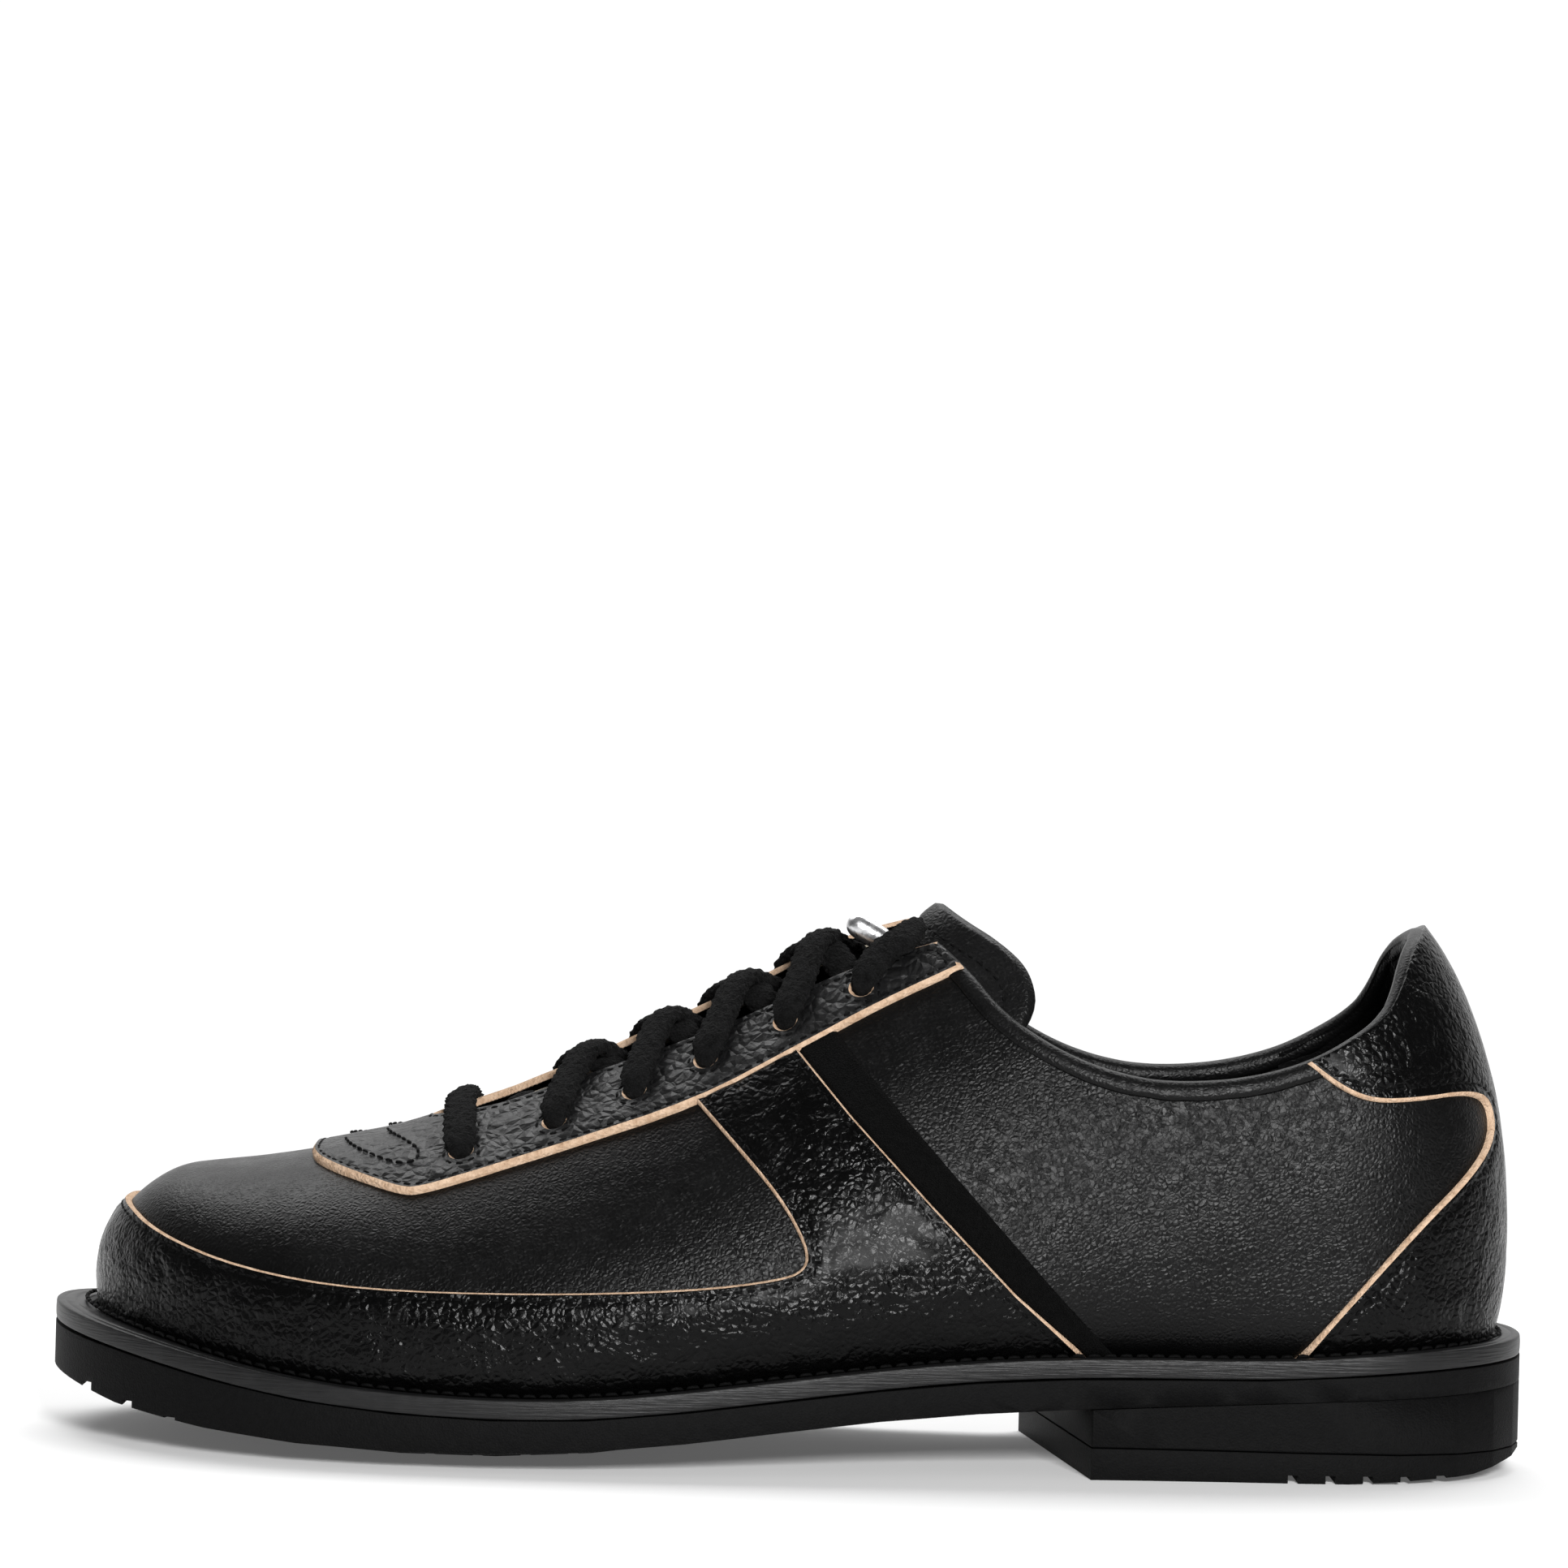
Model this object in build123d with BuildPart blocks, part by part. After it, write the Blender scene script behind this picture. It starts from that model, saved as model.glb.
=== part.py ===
"""Bowling shoe (left): leather upper, welted rubber sole, stacked heel, laced facing."""

import math
import os

from build123d import *

os.makedirs("parts", exist_ok=True)

# ---------------------------------------------------------------- driving dimensions (mm)
TOE_TIP, HEEL_TIP = -140.8, 145.7     # vamp leather, toe and heel ends
GAP = 0.2                             # clearance between stacked layers
OVERLAY = (GAP, 1.6)                  # mudguard, facing, foxing: offsets from the vamp face
VELVET = (GAP, 1.3)
LEATHER = (-1.3, 0.0)                 # vamp and quarters
STIFFENER = (-2.3, -1.5)              # toe puff, heel counter, facing backer
LINING = (-3.4, -2.5)
INSIDE = LINING[0] - GAP
SEAM = 0.3                            # butt clearance between neighbouring panels
SOLE_LENGTH = 150.3                   # half of the sole length
WELT_T = 4.0
FEATHER = 2.6                         # the lasted upper sits this far below the welt's top
LAST_MARGIN = 13.0                    # leather turned in under the insole
BINDING_H = 3.0                       # rolled edge of the topline
LACE_R, HOLE_R = 1.7, 2.05
BOARD_T, LINER_T, TONGUE_T = 2.0, 1.2, 1.3
SHANK_X, SHANK_W, SHANK_T = (-28.0, 88.0), 14.0, 1.6
BIG = 175                             # beyond the shoe on every side
FLOOR_POWER = 6.0                     # squareness of the upper's lower corner
REACH_TOE, REACH_HEEL = 60.0, 38.0    # lengths over which the plan closes in


def smooth_curve(*stations):
    """Natural cubic through (position, value) stations, held level beyond both ends."""
    xs, ys = zip(*stations)
    n = len(xs)
    step = [b - a for a, b in zip(xs, xs[1:])]
    diag, rhs = [1.0] * n, [0.0] * n
    for i in range(1, n - 1):
        rise = (ys[i + 1] - ys[i]) / step[i] - (ys[i] - ys[i - 1]) / step[i - 1]
        carry = step[i - 1] / diag[i - 1] if i > 1 else 0.0
        diag[i] = 2 * (step[i - 1] + step[i]) - carry * (step[i - 1] if i > 1 else 0.0)
        rhs[i] = 6 * rise - carry * rhs[i - 1]
    bend = [0.0] * n
    for i in range(n - 2, 0, -1):
        bend[i] = (rhs[i] - step[i] * bend[i + 1]) / diag[i]

    def at(x):
        x = min(max(x, xs[0]), xs[-1])
        i = max(j for j in range(n - 1) if xs[j] <= x)
        left, right, h = x - xs[i], xs[i + 1] - x, step[i]
        return (
            (bend[i] * right**3 + bend[i + 1] * left**3) / (6 * h)
            + (ys[i] / h - bend[i] * h / 6) * right
            + (ys[i + 1] / h - bend[i + 1] * h / 6) * left
        )

    return at


half_width = smooth_curve(
    (-141, 46), (-100, 47.8), (-70, 48.8), (-45, 48.4), (-20, 45.8),
    (5, 42.4), (30, 39), (60, 36), (90, 34.6), (120, 34), (146, 34),
)
middle = smooth_curve(
    (-150, 8.6), (-130, 6.8), (-110, 4.8), (-80, 1.6), (-50, -1.2), (-20, -3.6),
    (10, -4.8), (40, -4.3), (80, -2), (110, -0.6), (150, 0),
)
welt_top = smooth_curve(
    (-150, 26.2), (-130, 22.8), (-115, 20.0), (-98, 17.3), (-80, 15.4), (-60, 14.5),
    (-42, 14.7), (-12, 17.4), (20, 21.2), (44, 23.2), (71, 24.0), (100, 24.4),
    (120, 25.8), (150, 27.6),
)
crest = smooth_curve(
    (-141, 50.0), (-123, 54.0), (-110, 55.8), (-97.5, 58.0), (-84.7, 60.8),
    (-74.6, 63.8), (-64, 68.2), (-50, 74.2), (-36, 80.6), (-24, 87.0), (-10, 94.9),
    (0, 100.8), (10, 106.4), (18, 109.8), (30, 113.5), (45, 117.5), (65, 120.5),
    (90, 121.5), (146, 121.5),
)
belt = smooth_curve(
    (-141, 31.5), (-110, 29), (-60, 27.5), (-20, 30), (20, 35), (60, 40), (100, 45), (146, 49),
)
crown = smooth_curve(
    (-141, 2.7), (-115, 2.4), (-90, 1.95), (-70, 1.6), (-50, 1.47), (-20, 1.45),
    (10, 1.5), (40, 1.65), (80, 1.9), (146, 2.0),
)
lean = smooth_curve((-141, 0), (-100, 0.5), (-60, 3), (-20, 6), (20, 6), (60, 3), (100, 0.5), (146, 0))
pinch = smooth_curve((-141, 0), (-60, 0.01), (-20, 0.08), (25, 0.16), (70, 0.09), (110, 0.02), (146, 0))


def closing(distance, reach, power=2.0):
    """1 in the body of the shape, falling to 0 at its end, as a superellipse does."""
    t = min(max(1 - distance / reach, 0.0), 1.0)
    return (1 - t**power) ** (1 / power)


def skin_point(x, angle, d):
    """(y, z) on the surface offset by d; angle 0 is lateral, pi/2 the crest, pi medial."""
    toe, heel = x - TOE_TIP + d, HEEL_TIP + d - x
    half = (half_width(x) + d) * closing(toe, REACH_TOE + d) * closing(heel, REACH_HEEL + d, 2.2)
    z_mid = belt(x)
    z_top = z_mid + (crest(x) + d - z_mid) * closing(toe, 19 + d, 2.2) * closing(heel, 40 + d)
    floor = welt_top(x) - FEATHER - d
    z_low = z_mid - (z_mid - floor) * closing(toe, max(6 + d, 1)) * closing(heel, max(7 + d, 1))
    across, up = -math.cos(angle), math.sin(angle)
    power = 2 / crown(x) if up >= 0 else 2 / FLOOR_POWER
    rise = abs(up) ** power
    y = half * math.copysign(abs(across) ** power, across)
    if up >= 0:
        return middle(x) + y + lean(x) * rise**2, z_mid + (z_top - z_mid) * rise
    return middle(x) + y * (1 - pinch(x) * rise**2), z_mid - (z_mid - z_low) * rise


def skin_angle(x, z, d, medial=False):
    """Angle of the surface point at height z on the upper half of one side."""
    low, high = 0.0, math.pi / 2
    for _ in range(40):
        mid = (low + high) / 2
        low, high = (mid, high) if skin_point(x, mid, d)[1] < z else (low, mid)
    return math.pi - low if medial else low


NEAR_ENDS = (0.35, 1.0, 2.2, 4.2, 7.0, 11.0, 16.0, 23.0)


def last_solid(d, x_from=None, x_to=None):
    """Solid inside the surface offset by d (a number, or a function of x)."""
    depth = d if callable(d) else lambda _: d
    if x_from is None:
        toe, heel = TOE_TIP - depth(TOE_TIP), HEEL_TIP + depth(HEEL_TIP)
        stations = [toe + n for n in NEAR_ENDS] + [heel - n for n in NEAR_ENDS]
        stations += [-104 + 14.4 * i for i in range(16)]
    else:
        stations = [x_from + (x_to - x_from) * i / 12 for i in range(13)]
    with BuildPart() as form:
        for x in sorted(stations):
            with BuildSketch(Plane.YZ.offset(x)):
                with BuildLine():
                    ring = [math.pi * (i + 0.5) / 11 for i in range(-6, 16)]
                    Spline(*[skin_point(x, angle, depth(x)) for angle in ring], periodic=True)
                make_face()
        loft(ruled=True)
    return form.part


def side_prism(points, y_from=-90.0, y_to=90.0):
    """Side-view polygon (x, z) pushed across the shoe."""
    with BuildPart() as prism:
        with BuildSketch(Plane.XZ.offset(-y_to)):
            with BuildLine():
                Polyline(*points, close=True)
            make_face()
        extrude(amount=y_to - y_from)
    return prism.part


def plan_prism(points, z_from=-20.0, z_to=160.0, curved=False):
    """Plan-view outline (x, y) pushed upward."""
    with BuildPart() as prism:
        with BuildSketch(Plane.XY.offset(z_from)):
            with BuildLine():
                if curved:
                    Spline(*points, periodic=True)
                else:
                    Polyline(*points, close=True)
            make_face()
        extrude(amount=z_to - z_from)
    return prism.part


BAND_X = [-152 + 19 * i for i in range(17)]


def band(low_curve, high_curve, low=0.0, high=0.0, start=-152):
    """Side-view strip between two height curves, each moved by its own amount."""
    under = [(x, low_curve(x) + low) for x in BAND_X if x >= start]
    over = [(x, high_curve(x) + high) for x in reversed(BAND_X) if x >= start]
    return side_prism(under + over)


def finish(name, piece):
    """Label a finished piece and write it."""
    piece.part.label = name
    export_step(piece.part, f"parts/{name}.step")
    print(name, round(piece.part.volume), len(piece.part.solids()), flush=True)


# ---------------------------------------------------------------- side-view pattern lines (x, z)
TOPLINE = [
    (28.6, 104.2), (34.5, 99.2), (40.2, 92.2), (46.5, 87.2), (57.3, 81.5), (68.7, 78.4), (78, 77.8),
    (90, 78.8), (101.1, 81.7), (109.5, 85.8), (118, 91.5), (121.5, 97.2), (124.3, 105.3),
    (128.4, 109.6), (135, 109.2),
]
FACING_EDGE = [
    (-97.3, 62), (-97.0, 59.4), (-84, 54.3), (-77, 52.0), (-73.6, 52.0), (-62, 55.3),
    (-44, 61.4), (-18.2, 70.7), (1.5, 81.8), (18, 91.2), (34.5, 99.2),
]
GUARD_EDGE = [
    (-150, 51), (-135, 47.3), (-125.6, 42.2), (-107.6, 37.1), (-82.4, 34.1), (-50.4, 34.2),
    (-18.7, 36.0), (-1.3, 38.5), (3.2, 40.6), (4.1, 43.8), (-1.7, 53.8), (-11.6, 64.2), (-18.2, 70.7),
]
STRIPE_REAR = [(1.5, 81.8), (12.2, 69.7), (28.6, 52.8), (45, 36.4), (58.2, 25.3), (72, 12)]
VELVET_REAR = [(9.6, 86.6), (12.6, 81.6), (22, 70.7), (39, 52.2), (52, 38), (63.3, 26.0), (77, 12)]
QUARTER_SEAM = [(-12, 86), (6, 60), (25, 40), (46, 18), (60, 4)]
FOXING_EDGE = [
    (104.1, 81.1), (110, 77.1), (115.8, 75.1), (124.5, 75.5), (135, 76.8), (139.0, 74.4),
    (140.9, 68.5), (139.4, 65.0), (136.2, 61.6), (124.6, 50.8), (108, 31.8), (102.6, 25.2), (92, 12),
]
slot_near = smooth_curve((-72, 0.5), (-66, -5), (-50, -7.6), (-20, -11.5), (0, -13.2), (14, -13.8), (40, -14))
slot_far = smooth_curve((-72, 1.5), (-66, 6), (-50, 6.5), (-20, 7), (0, 7.5), (14, 8), (40, 9))
EYELETS = [(-65.5, 60.4), (-47, 67), (-31, 73.6), (-16.8, 80.4), (-1, 88.6), (14, 96)]


def shifted(line, amount):
    """The same line moved sideways by an even amount (positive to its right)."""
    moved = []
    for i, (x, z) in enumerate(line):
        a, b = line[max(i - 1, 0)], line[min(i + 1, len(line) - 1)]
        run, rise = b[0] - a[0], b[1] - a[1]
        length = math.hypot(run, rise)
        moved.append((x + amount * rise / length, z - amount * run / length))
    return moved


def above_topline(drop):
    """Everything above the topline once it's lowered by drop."""
    line = shifted(TOPLINE, drop)
    (x0, z0), (x1, z1) = line[0], line[1]
    start = (x0 - 6, z0 + 6 * (z0 - z1) / (x1 - x0))
    return side_prism([start] + line[1:] + [(175, line[-1][1]), (175, 165), (start[0], 165)])


def throat(grow=0.0):
    """The open throat between the two facings, widened by grow on each side."""
    xs = [-72 - grow, -66, -50, -20, 0, 14, 52]
    near = [(x, slot_near(x) - grow) for x in xs]
    far = [(x, slot_far(x) + grow) for x in reversed(xs)]
    return plan_prism(near + far, 45, 165)


def under_outline(margin, grow=0.0):
    """Closed outline of the lasted bottom, a margin inside the feather edge."""
    first, last = TOE_TIP + margin - grow, HEEL_TIP - margin + grow
    xs = [first + n for n in (1.2, 5, 12, 22, 34)] + [-72, -48, -24, 0, 24, 48, 72, 96]
    xs += [last - n for n in (20, 10, 3, 0.8)]
    loop = []
    for side, order in ((-1, xs), (1, xs[::-1])):
        for x in order:
            half = (half_width(x) * (1 - pinch(x)) - margin + grow) * closing(x - first, 46)
            loop.append((x, middle(x) + side * half * closing(last - x, 26, 2.2)))
    return loop


def sole_half(x, side):
    """Half width of the sole on one side of its middle line."""
    ends = closing(x + SOLE_LENGTH, 64) * closing(SOLE_LENGTH - x, 42, 2.2)
    return (half_width(x) * (1 - pinch(x) * (0.55 if side < 0 else 1.0)) + welt_out(x)) * ends


welt_out = smooth_curve((-150, 6), (-110, 5), (-60, 4.6), (0, 4), (40, 3.2), (100, 3), (150, 4))
SOLE_ENDS = (0.6, 3, 8, 16, 28)


def sole_outline(x_from=-SOLE_LENGTH, inset=0.0):
    """Outline of the sole, or of its rear part from x_from on."""
    xs = [-SOLE_LENGTH + n for n in SOLE_ENDS] + [-104 + 16 * i for i in range(14)]
    xs = sorted(xs + [SOLE_LENGTH - inset - n for n in SOLE_ENDS])
    xs = [x for x in xs if x > x_from]
    near = [(x, middle(x) - sole_half(x + inset * (x > 100), -1) + inset) for x in xs]
    far = [(x, middle(x) + sole_half(x + inset * (x > 100), 1) - inset) for x in reversed(xs)]
    return near + far


tread = smooth_curve(
    (-152, 13.6), (-130, 8.0), (-110, 3.9), (-90, 1.1), (-72, 0.0), (-56, 0.0), (-36, 1.3),
    (-14, 4.6), (8, 8.6), (28, 11.4), (46, 13.0), (70, 14.4), (110, 16.4), (152, 18.6),
)
sole_round = smooth_curve((-152, 0.6), (-110, 2.6), (-66, 3.6), (-20, 2.8), (20, 1.0), (46, 0.3), (152, 0.0))
lift_top = smooth_curve((45, 6.4), (100, 6.0), (152, 5.6))

# ---------------------------------------------------------------- bottom unit
outline = plan_prism(sole_outline(), -5, 40, curved=True)
GROOVES = [-140 + 9.5 * i for i in range(5)] + [-70, -60.5, -51, -41.5, -32]
with BuildPart() as outsole:
    for x in BAND_X:
        edge = tread(x) + 2 * sole_round(x)
        with BuildSketch(Plane.YZ.offset(x)):
            with BuildLine():
                Polyline(
                    (-75, 60), (75, 60), (75, edge), (28, tread(x)), (-28, tread(x)), (-75, edge), close=True
                )
            make_face()
    loft(ruled=True)
    add(outline, mode=Mode.INTERSECT)
    add(band(welt_top, welt_top, -WELT_T - GAP, 60), mode=Mode.SUBTRACT)
    for x in GROOVES:
        with Locations((x, middle(x), tread(x) + 0.2)):
            Box(2.2, 130, 2.4, mode=Mode.SUBTRACT)
finish("outsole", outsole)

NEAR_BREAST, FAR_BREAST = (59.9, -33), (49.8, 33)    # breast of the heel, near and far ends
slope = (FAR_BREAST[0] - NEAR_BREAST[0]) / (FAR_BREAST[1] - NEAR_BREAST[1])
breast = [(NEAR_BREAST[0] - slope * 40, -73), (170, -73), (170, 73), (FAR_BREAST[0] + slope * 40, 73)]
with BuildPart() as heel_plan:
    add(plan_prism(sole_outline(30), -5, 40))
    add(plan_prism(breast), mode=Mode.INTERSECT)
with BuildPart() as heel_block:
    add(heel_plan.part)
    add(band(lift_top, tread, GAP / 2, -GAP, start=38), mode=Mode.INTERSECT)
finish("heel_block", heel_block)

LIFT_FOOT = [(40, 0), (112, 0), (138, 1.5), (146, 3.4), (152, 5.2)]
with BuildPart() as heel_top_lift:
    add(heel_plan.part)
    add(side_prism(LIFT_FOOT + [(x, lift_top(x) - GAP / 2) for x in (152, 100, 45)]), mode=Mode.INTERSECT)
    with Locations(*[(101 + 7.5 * i, 0, 0.4) for i in range(5)]):
        Box(2.0, 90, 2.4, mode=Mode.SUBTRACT)
finish("heel_top_lift", heel_top_lift)

with BuildPart() as welt:
    add(outline)
    add(band(welt_top, welt_top, -WELT_T, 0), mode=Mode.INTERSECT)
    add(last_solid(OVERLAY[1] + GAP), mode=Mode.SUBTRACT)
    add(plan_prism(under_outline(LAST_MARGIN), -10, 33), mode=Mode.SUBTRACT)
finish("welt", welt)

board_low = -FEATHER - INSIDE                        # underside of the insole board, from the welt's top
shank_low = board_low - GAP - SHANK_T


def shank_box(grow=0.0):
    """Strip under the arch that the shank fills, grown on every side in plan."""
    x0, x1, half = SHANK_X[0] - grow, SHANK_X[1] + grow, SHANK_W / 2 + grow
    return side_prism([(x0, -10), (x1, -10), (x1, 60), (x0, 60)], -half - 3, half - 3)


with BuildPart() as steel_shank:
    add(shank_box())
    add(band(welt_top, welt_top, shank_low, shank_low + SHANK_T), mode=Mode.INTERSECT)
finish("steel_shank", steel_shank)

with BuildPart() as shank_pocket:
    add(shank_box(GAP))
    add(band(welt_top, welt_top, shank_low - GAP, 20), mode=Mode.INTERSECT)
with BuildPart() as cork_filler:
    add(plan_prism(under_outline(LAST_MARGIN, -GAP), -10, 33))
    add(band(welt_top, welt_top, -WELT_T, board_low - GAP), mode=Mode.INTERSECT)
    add(shank_pocket.part, mode=Mode.SUBTRACT)
finish("cork_filler", cork_filler)

with BuildPart() as insole_board:
    add(last_solid(INSIDE))
    add(band(welt_top, welt_top, board_low, board_low + BOARD_T), mode=Mode.INTERSECT)
finish("insole_board", insole_board)

liner_low = board_low + BOARD_T + GAP
with BuildPart() as sock_liner:
    add(last_solid(INSIDE - 0.3))
    add(band(welt_top, welt_top, liner_low, liner_low + LINER_T), mode=Mode.INTERSECT)
finish("sock_liner", sock_liner)

# ---------------------------------------------------------------- shared cutters of the upper
hole_under = plan_prism(under_outline(LAST_MARGIN), -10, 33)
slot = throat()
open_top = above_topline(BINDING_H + SEAM)
into_welt = band(welt_top, welt_top, -60, -1.5)
upright = [(-BIG, -20), (BIG, -20), (BIG, 165), (-BIG, 165)]
near_half, far_half = side_prism(upright, -90, -SEAM / 2), side_prism(upright, SEAM / 2, 90)
seam_line = shifted(QUARTER_SEAM, -SEAM)
before_seam = side_prism([(-BIG, 165), (QUARTER_SEAM[0][0], 165)] + QUARTER_SEAM + [(60, -20), (-BIG, -20)])
behind_seam = side_prism(
    [(BIG, 165), (seam_line[0][0], 165)] + seam_line + [(seam_line[-1][0], -20), (BIG, -20)]
)


def top_point(x, y, d):
    """Point of the upper half of the surface offset by d, at plan position (x, y)."""
    low, high = 0.0, math.pi
    for _ in range(40):
        mid = (low + high) / 2
        low, high = (mid, high) if skin_point(x, mid, d)[0] < y else (low, mid)
    return Vector(x, *skin_point(x, low, d))


def normal_at(x, y):
    """Outward normal of the vamp's face at plan position (x, y)."""
    along = top_point(x + 0.5, y, 0) - top_point(x - 0.5, y, 0)
    across = top_point(x, y + 0.5, 0) - top_point(x, y - 0.5, 0)
    return along.cross(across).normalized()


def off_skin(x, y, d):
    """Point at distance d from the vamp's outer face, measured square to it."""
    return top_point(x, y, 0) + normal_at(x, y) * d


eyelets = []                                         # (x, lateral y, medial y)
for x, z in EYELETS:
    near_y = skin_point(x, skin_angle(x, z, OVERLAY[1]), OVERLAY[1])[0]
    eyelets.append((x, near_y, slot_far(x) + slot_near(x) - near_y))
with BuildPart() as lace_holes:
    for x, near_y, far_y in eyelets:
        for y in (near_y, far_y):
            with Locations(Plane(origin=off_skin(x, y, -1), z_dir=normal_at(x, y))):
                Cylinder(HOLE_R, 13)


def layer(bounds):
    """Whole shell of the upper between two offsets."""
    with BuildPart() as shell:
        add(last_solid(bounds[1]))
        add(last_solid(bounds[0]), mode=Mode.SUBTRACT)
    return shell.part


def lasted(bounds):
    """Shell open at the topline, the throat, the eyelets and under the foot."""
    with BuildPart() as shell:
        add(layer(bounds))
        for cutter in (open_top, slot, hole_under, lace_holes.part):
            add(cutter, mode=Mode.SUBTRACT)
    return shell.part


# ---------------------------------------------------------------- vamp and quarters
leather = lasted(LEATHER)
with BuildPart() as vamp:
    add(leather)
    add(before_seam, mode=Mode.INTERSECT)
finish("vamp", vamp)

with BuildPart() as quarter_lateral:
    add(leather)
    add(behind_seam, mode=Mode.INTERSECT)
    add(near_half, mode=Mode.INTERSECT)
finish("quarter_lateral", quarter_lateral)

with BuildPart() as quarter_medial:
    add(leather)
    add(behind_seam, mode=Mode.INTERSECT)
    add(far_half, mode=Mode.INTERSECT)
finish("quarter_medial", quarter_medial)

# ---------------------------------------------------------------- lining
lining = lasted(LINING)
VAMP_SEAM, HEEL_SEAM = -20.0, 103.0


def slab(x_from, x_to):
    return side_prism([(x_from, -20), (x_to, -20), (x_to, 165), (x_from, 165)])


with BuildPart() as vamp_lining:
    add(lining)
    add(slab(-BIG, VAMP_SEAM), mode=Mode.INTERSECT)
finish("vamp_lining", vamp_lining)

with BuildPart() as quarter_lining_lateral:
    add(lining)
    add(slab(VAMP_SEAM + SEAM, HEEL_SEAM), mode=Mode.INTERSECT)
    add(near_half, mode=Mode.INTERSECT)
finish("quarter_lining_lateral", quarter_lining_lateral)

with BuildPart() as quarter_lining_medial:
    add(lining)
    add(slab(VAMP_SEAM + SEAM, HEEL_SEAM), mode=Mode.INTERSECT)
    add(far_half, mode=Mode.INTERSECT)
finish("quarter_lining_medial", quarter_lining_medial)

with BuildPart() as heel_lining:
    add(lining)
    add(slab(HEEL_SEAM + SEAM, BIG), mode=Mode.INTERSECT)
finish("heel_lining", heel_lining)

# ---------------------------------------------------------------- stiffeners between the layers
stiff = layer(STIFFENER)
with BuildPart() as toe_puff:
    add(stiff)
    add(side_prism([(-BIG, 0), (-92, 0), (-100, 30), (-104, 80), (-BIG, 80)]), mode=Mode.INTERSECT)
    add(hole_under, mode=Mode.SUBTRACT)
finish("toe_puff", toe_puff)

with BuildPart() as heel_counter:
    add(stiff)
    add(side_prism([(78, 0), (BIG, 0), (BIG, 68), (120, 64), (92, 44)]), mode=Mode.INTERSECT)
    add(hole_under, mode=Mode.SUBTRACT)
finish("heel_counter", heel_counter)

BACKER_EDGE = [(-94, 62), (-84, 57), (-74, 54.6), (-44, 64), (-18.2, 73.2), (1.5, 84.3), (30, 99)]
with BuildPart() as facing_backer:
    add(stiff)
    add(side_prism(BACKER_EDGE + [(30, 165), (-94, 165)]), mode=Mode.INTERSECT)
    for cutter in (open_top, throat(0.5), lace_holes.part):
        add(cutter, mode=Mode.SUBTRACT)
finish("facing_backer", facing_backer)

# ---------------------------------------------------------------- overlays
overlay = layer(OVERLAY)
with BuildPart() as facing:
    add(overlay)
    add(side_prism(FACING_EDGE + [(34.5, 165), (-97.3, 165)]), mode=Mode.INTERSECT)
    for cutter in (above_topline(0.4), slot, lace_holes.part):
        add(cutter, mode=Mode.SUBTRACT)
finish("facing", facing)

guard_zone = GUARD_EDGE[:-1] + shifted(FACING_EDGE, SEAM)[-4:-2] + STRIPE_REAR[1:] + [(72, -20), (-150, -20)]
with BuildPart() as mudguard:
    add(overlay)
    add(side_prism(guard_zone), mode=Mode.INTERSECT)
    add(into_welt, mode=Mode.SUBTRACT)
finish("mudguard", mudguard)

with BuildPart() as heel_foxing:
    add(overlay)
    add(side_prism(FOXING_EDGE + [(BIG, 12), (BIG, 165), (104.1, 165)]), mode=Mode.INTERSECT)
    add(into_welt, mode=Mode.SUBTRACT)
    add(open_top, mode=Mode.SUBTRACT)
finish("heel_foxing", heel_foxing)

velvet_zone = shifted(STRIPE_REAR, -SEAM) + VELVET_REAR[::-1][:-1] + [(8.6, 85.3)]
with BuildPart() as velvet:
    add(layer(VELVET))
    add(side_prism(velvet_zone), mode=Mode.INTERSECT)
    add(into_welt, mode=Mode.SUBTRACT)
with BuildPart() as velvet_strip_lateral:
    add(velvet.part)
    add(near_half, mode=Mode.INTERSECT)
finish("velvet_strip_lateral", velvet_strip_lateral)

with BuildPart() as velvet_strip_medial:
    add(velvet.part)
    add(far_half, mode=Mode.INTERSECT)
finish("velvet_strip_medial", velvet_strip_medial)

with BuildPart() as topline_binding:
    add(layer((LINING[0] - 0.4, OVERLAY[1] + 0.2)))
    add(above_topline(BINDING_H), mode=Mode.INTERSECT)
    for cutter in (above_topline(0.0), slot, slab(20, 35.2)):
        add(cutter, mode=Mode.SUBTRACT)
finish("topline_binding", topline_binding)

# ---------------------------------------------------------------- tongue
tongue_side = smooth_curve(
    (-90, -10.0), (-40, -10.0), (-10, -10.0), (4, -10.2), (12, -10.2), (17, -9.5), (22, -7.6), (30, -4.9),
    (36, -4.4), (50, -4.4),
)
tongue_lift = smooth_curve(
    (-90, 0), (-40, 0), (-10, 0), (4, 0), (15, 0), (20, 1.1), (27, 4.0), (34, 4.4), (50, 4.4)
)
lift_reach = smooth_curve((-90, 10), (27, 10.5), (36, 14), (50, 22))
tongue_near = smooth_curve((-84, -14), (-70, -20), (-20, -26), (20, -29), (50, -31))
tongue_far = smooth_curve((-84, 12), (-70, 16), (-20, 19), (20, 22), (50, 24))
TONGUE_X = [-84, -76, -66, -54, -40, -26, -12, 0, 9, 15, 20, 25, 30, 36, 43, 50]
TONGUE_END = [
    (-90, 165), (27, 165), (27, 114.4), (28.6, 113.4), (35, 108.7), (41.7, 104.8), (46.6, 100.4),
    (48.5, 95.4), (48.2, 91.5), (46.2, 87.5), (38, 60), (-90, 20),
]


def tongue_depth(x, y):
    """Depth of the tongue's face under the vamp face; its middle rises past the last eyelets."""
    off = (y - (slot_near(x) + slot_far(x)) / 2) / lift_reach(x)
    return tongue_side(x) + tongue_lift(x) * max(0.0, 1 - off * off) ** 1.5


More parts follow.
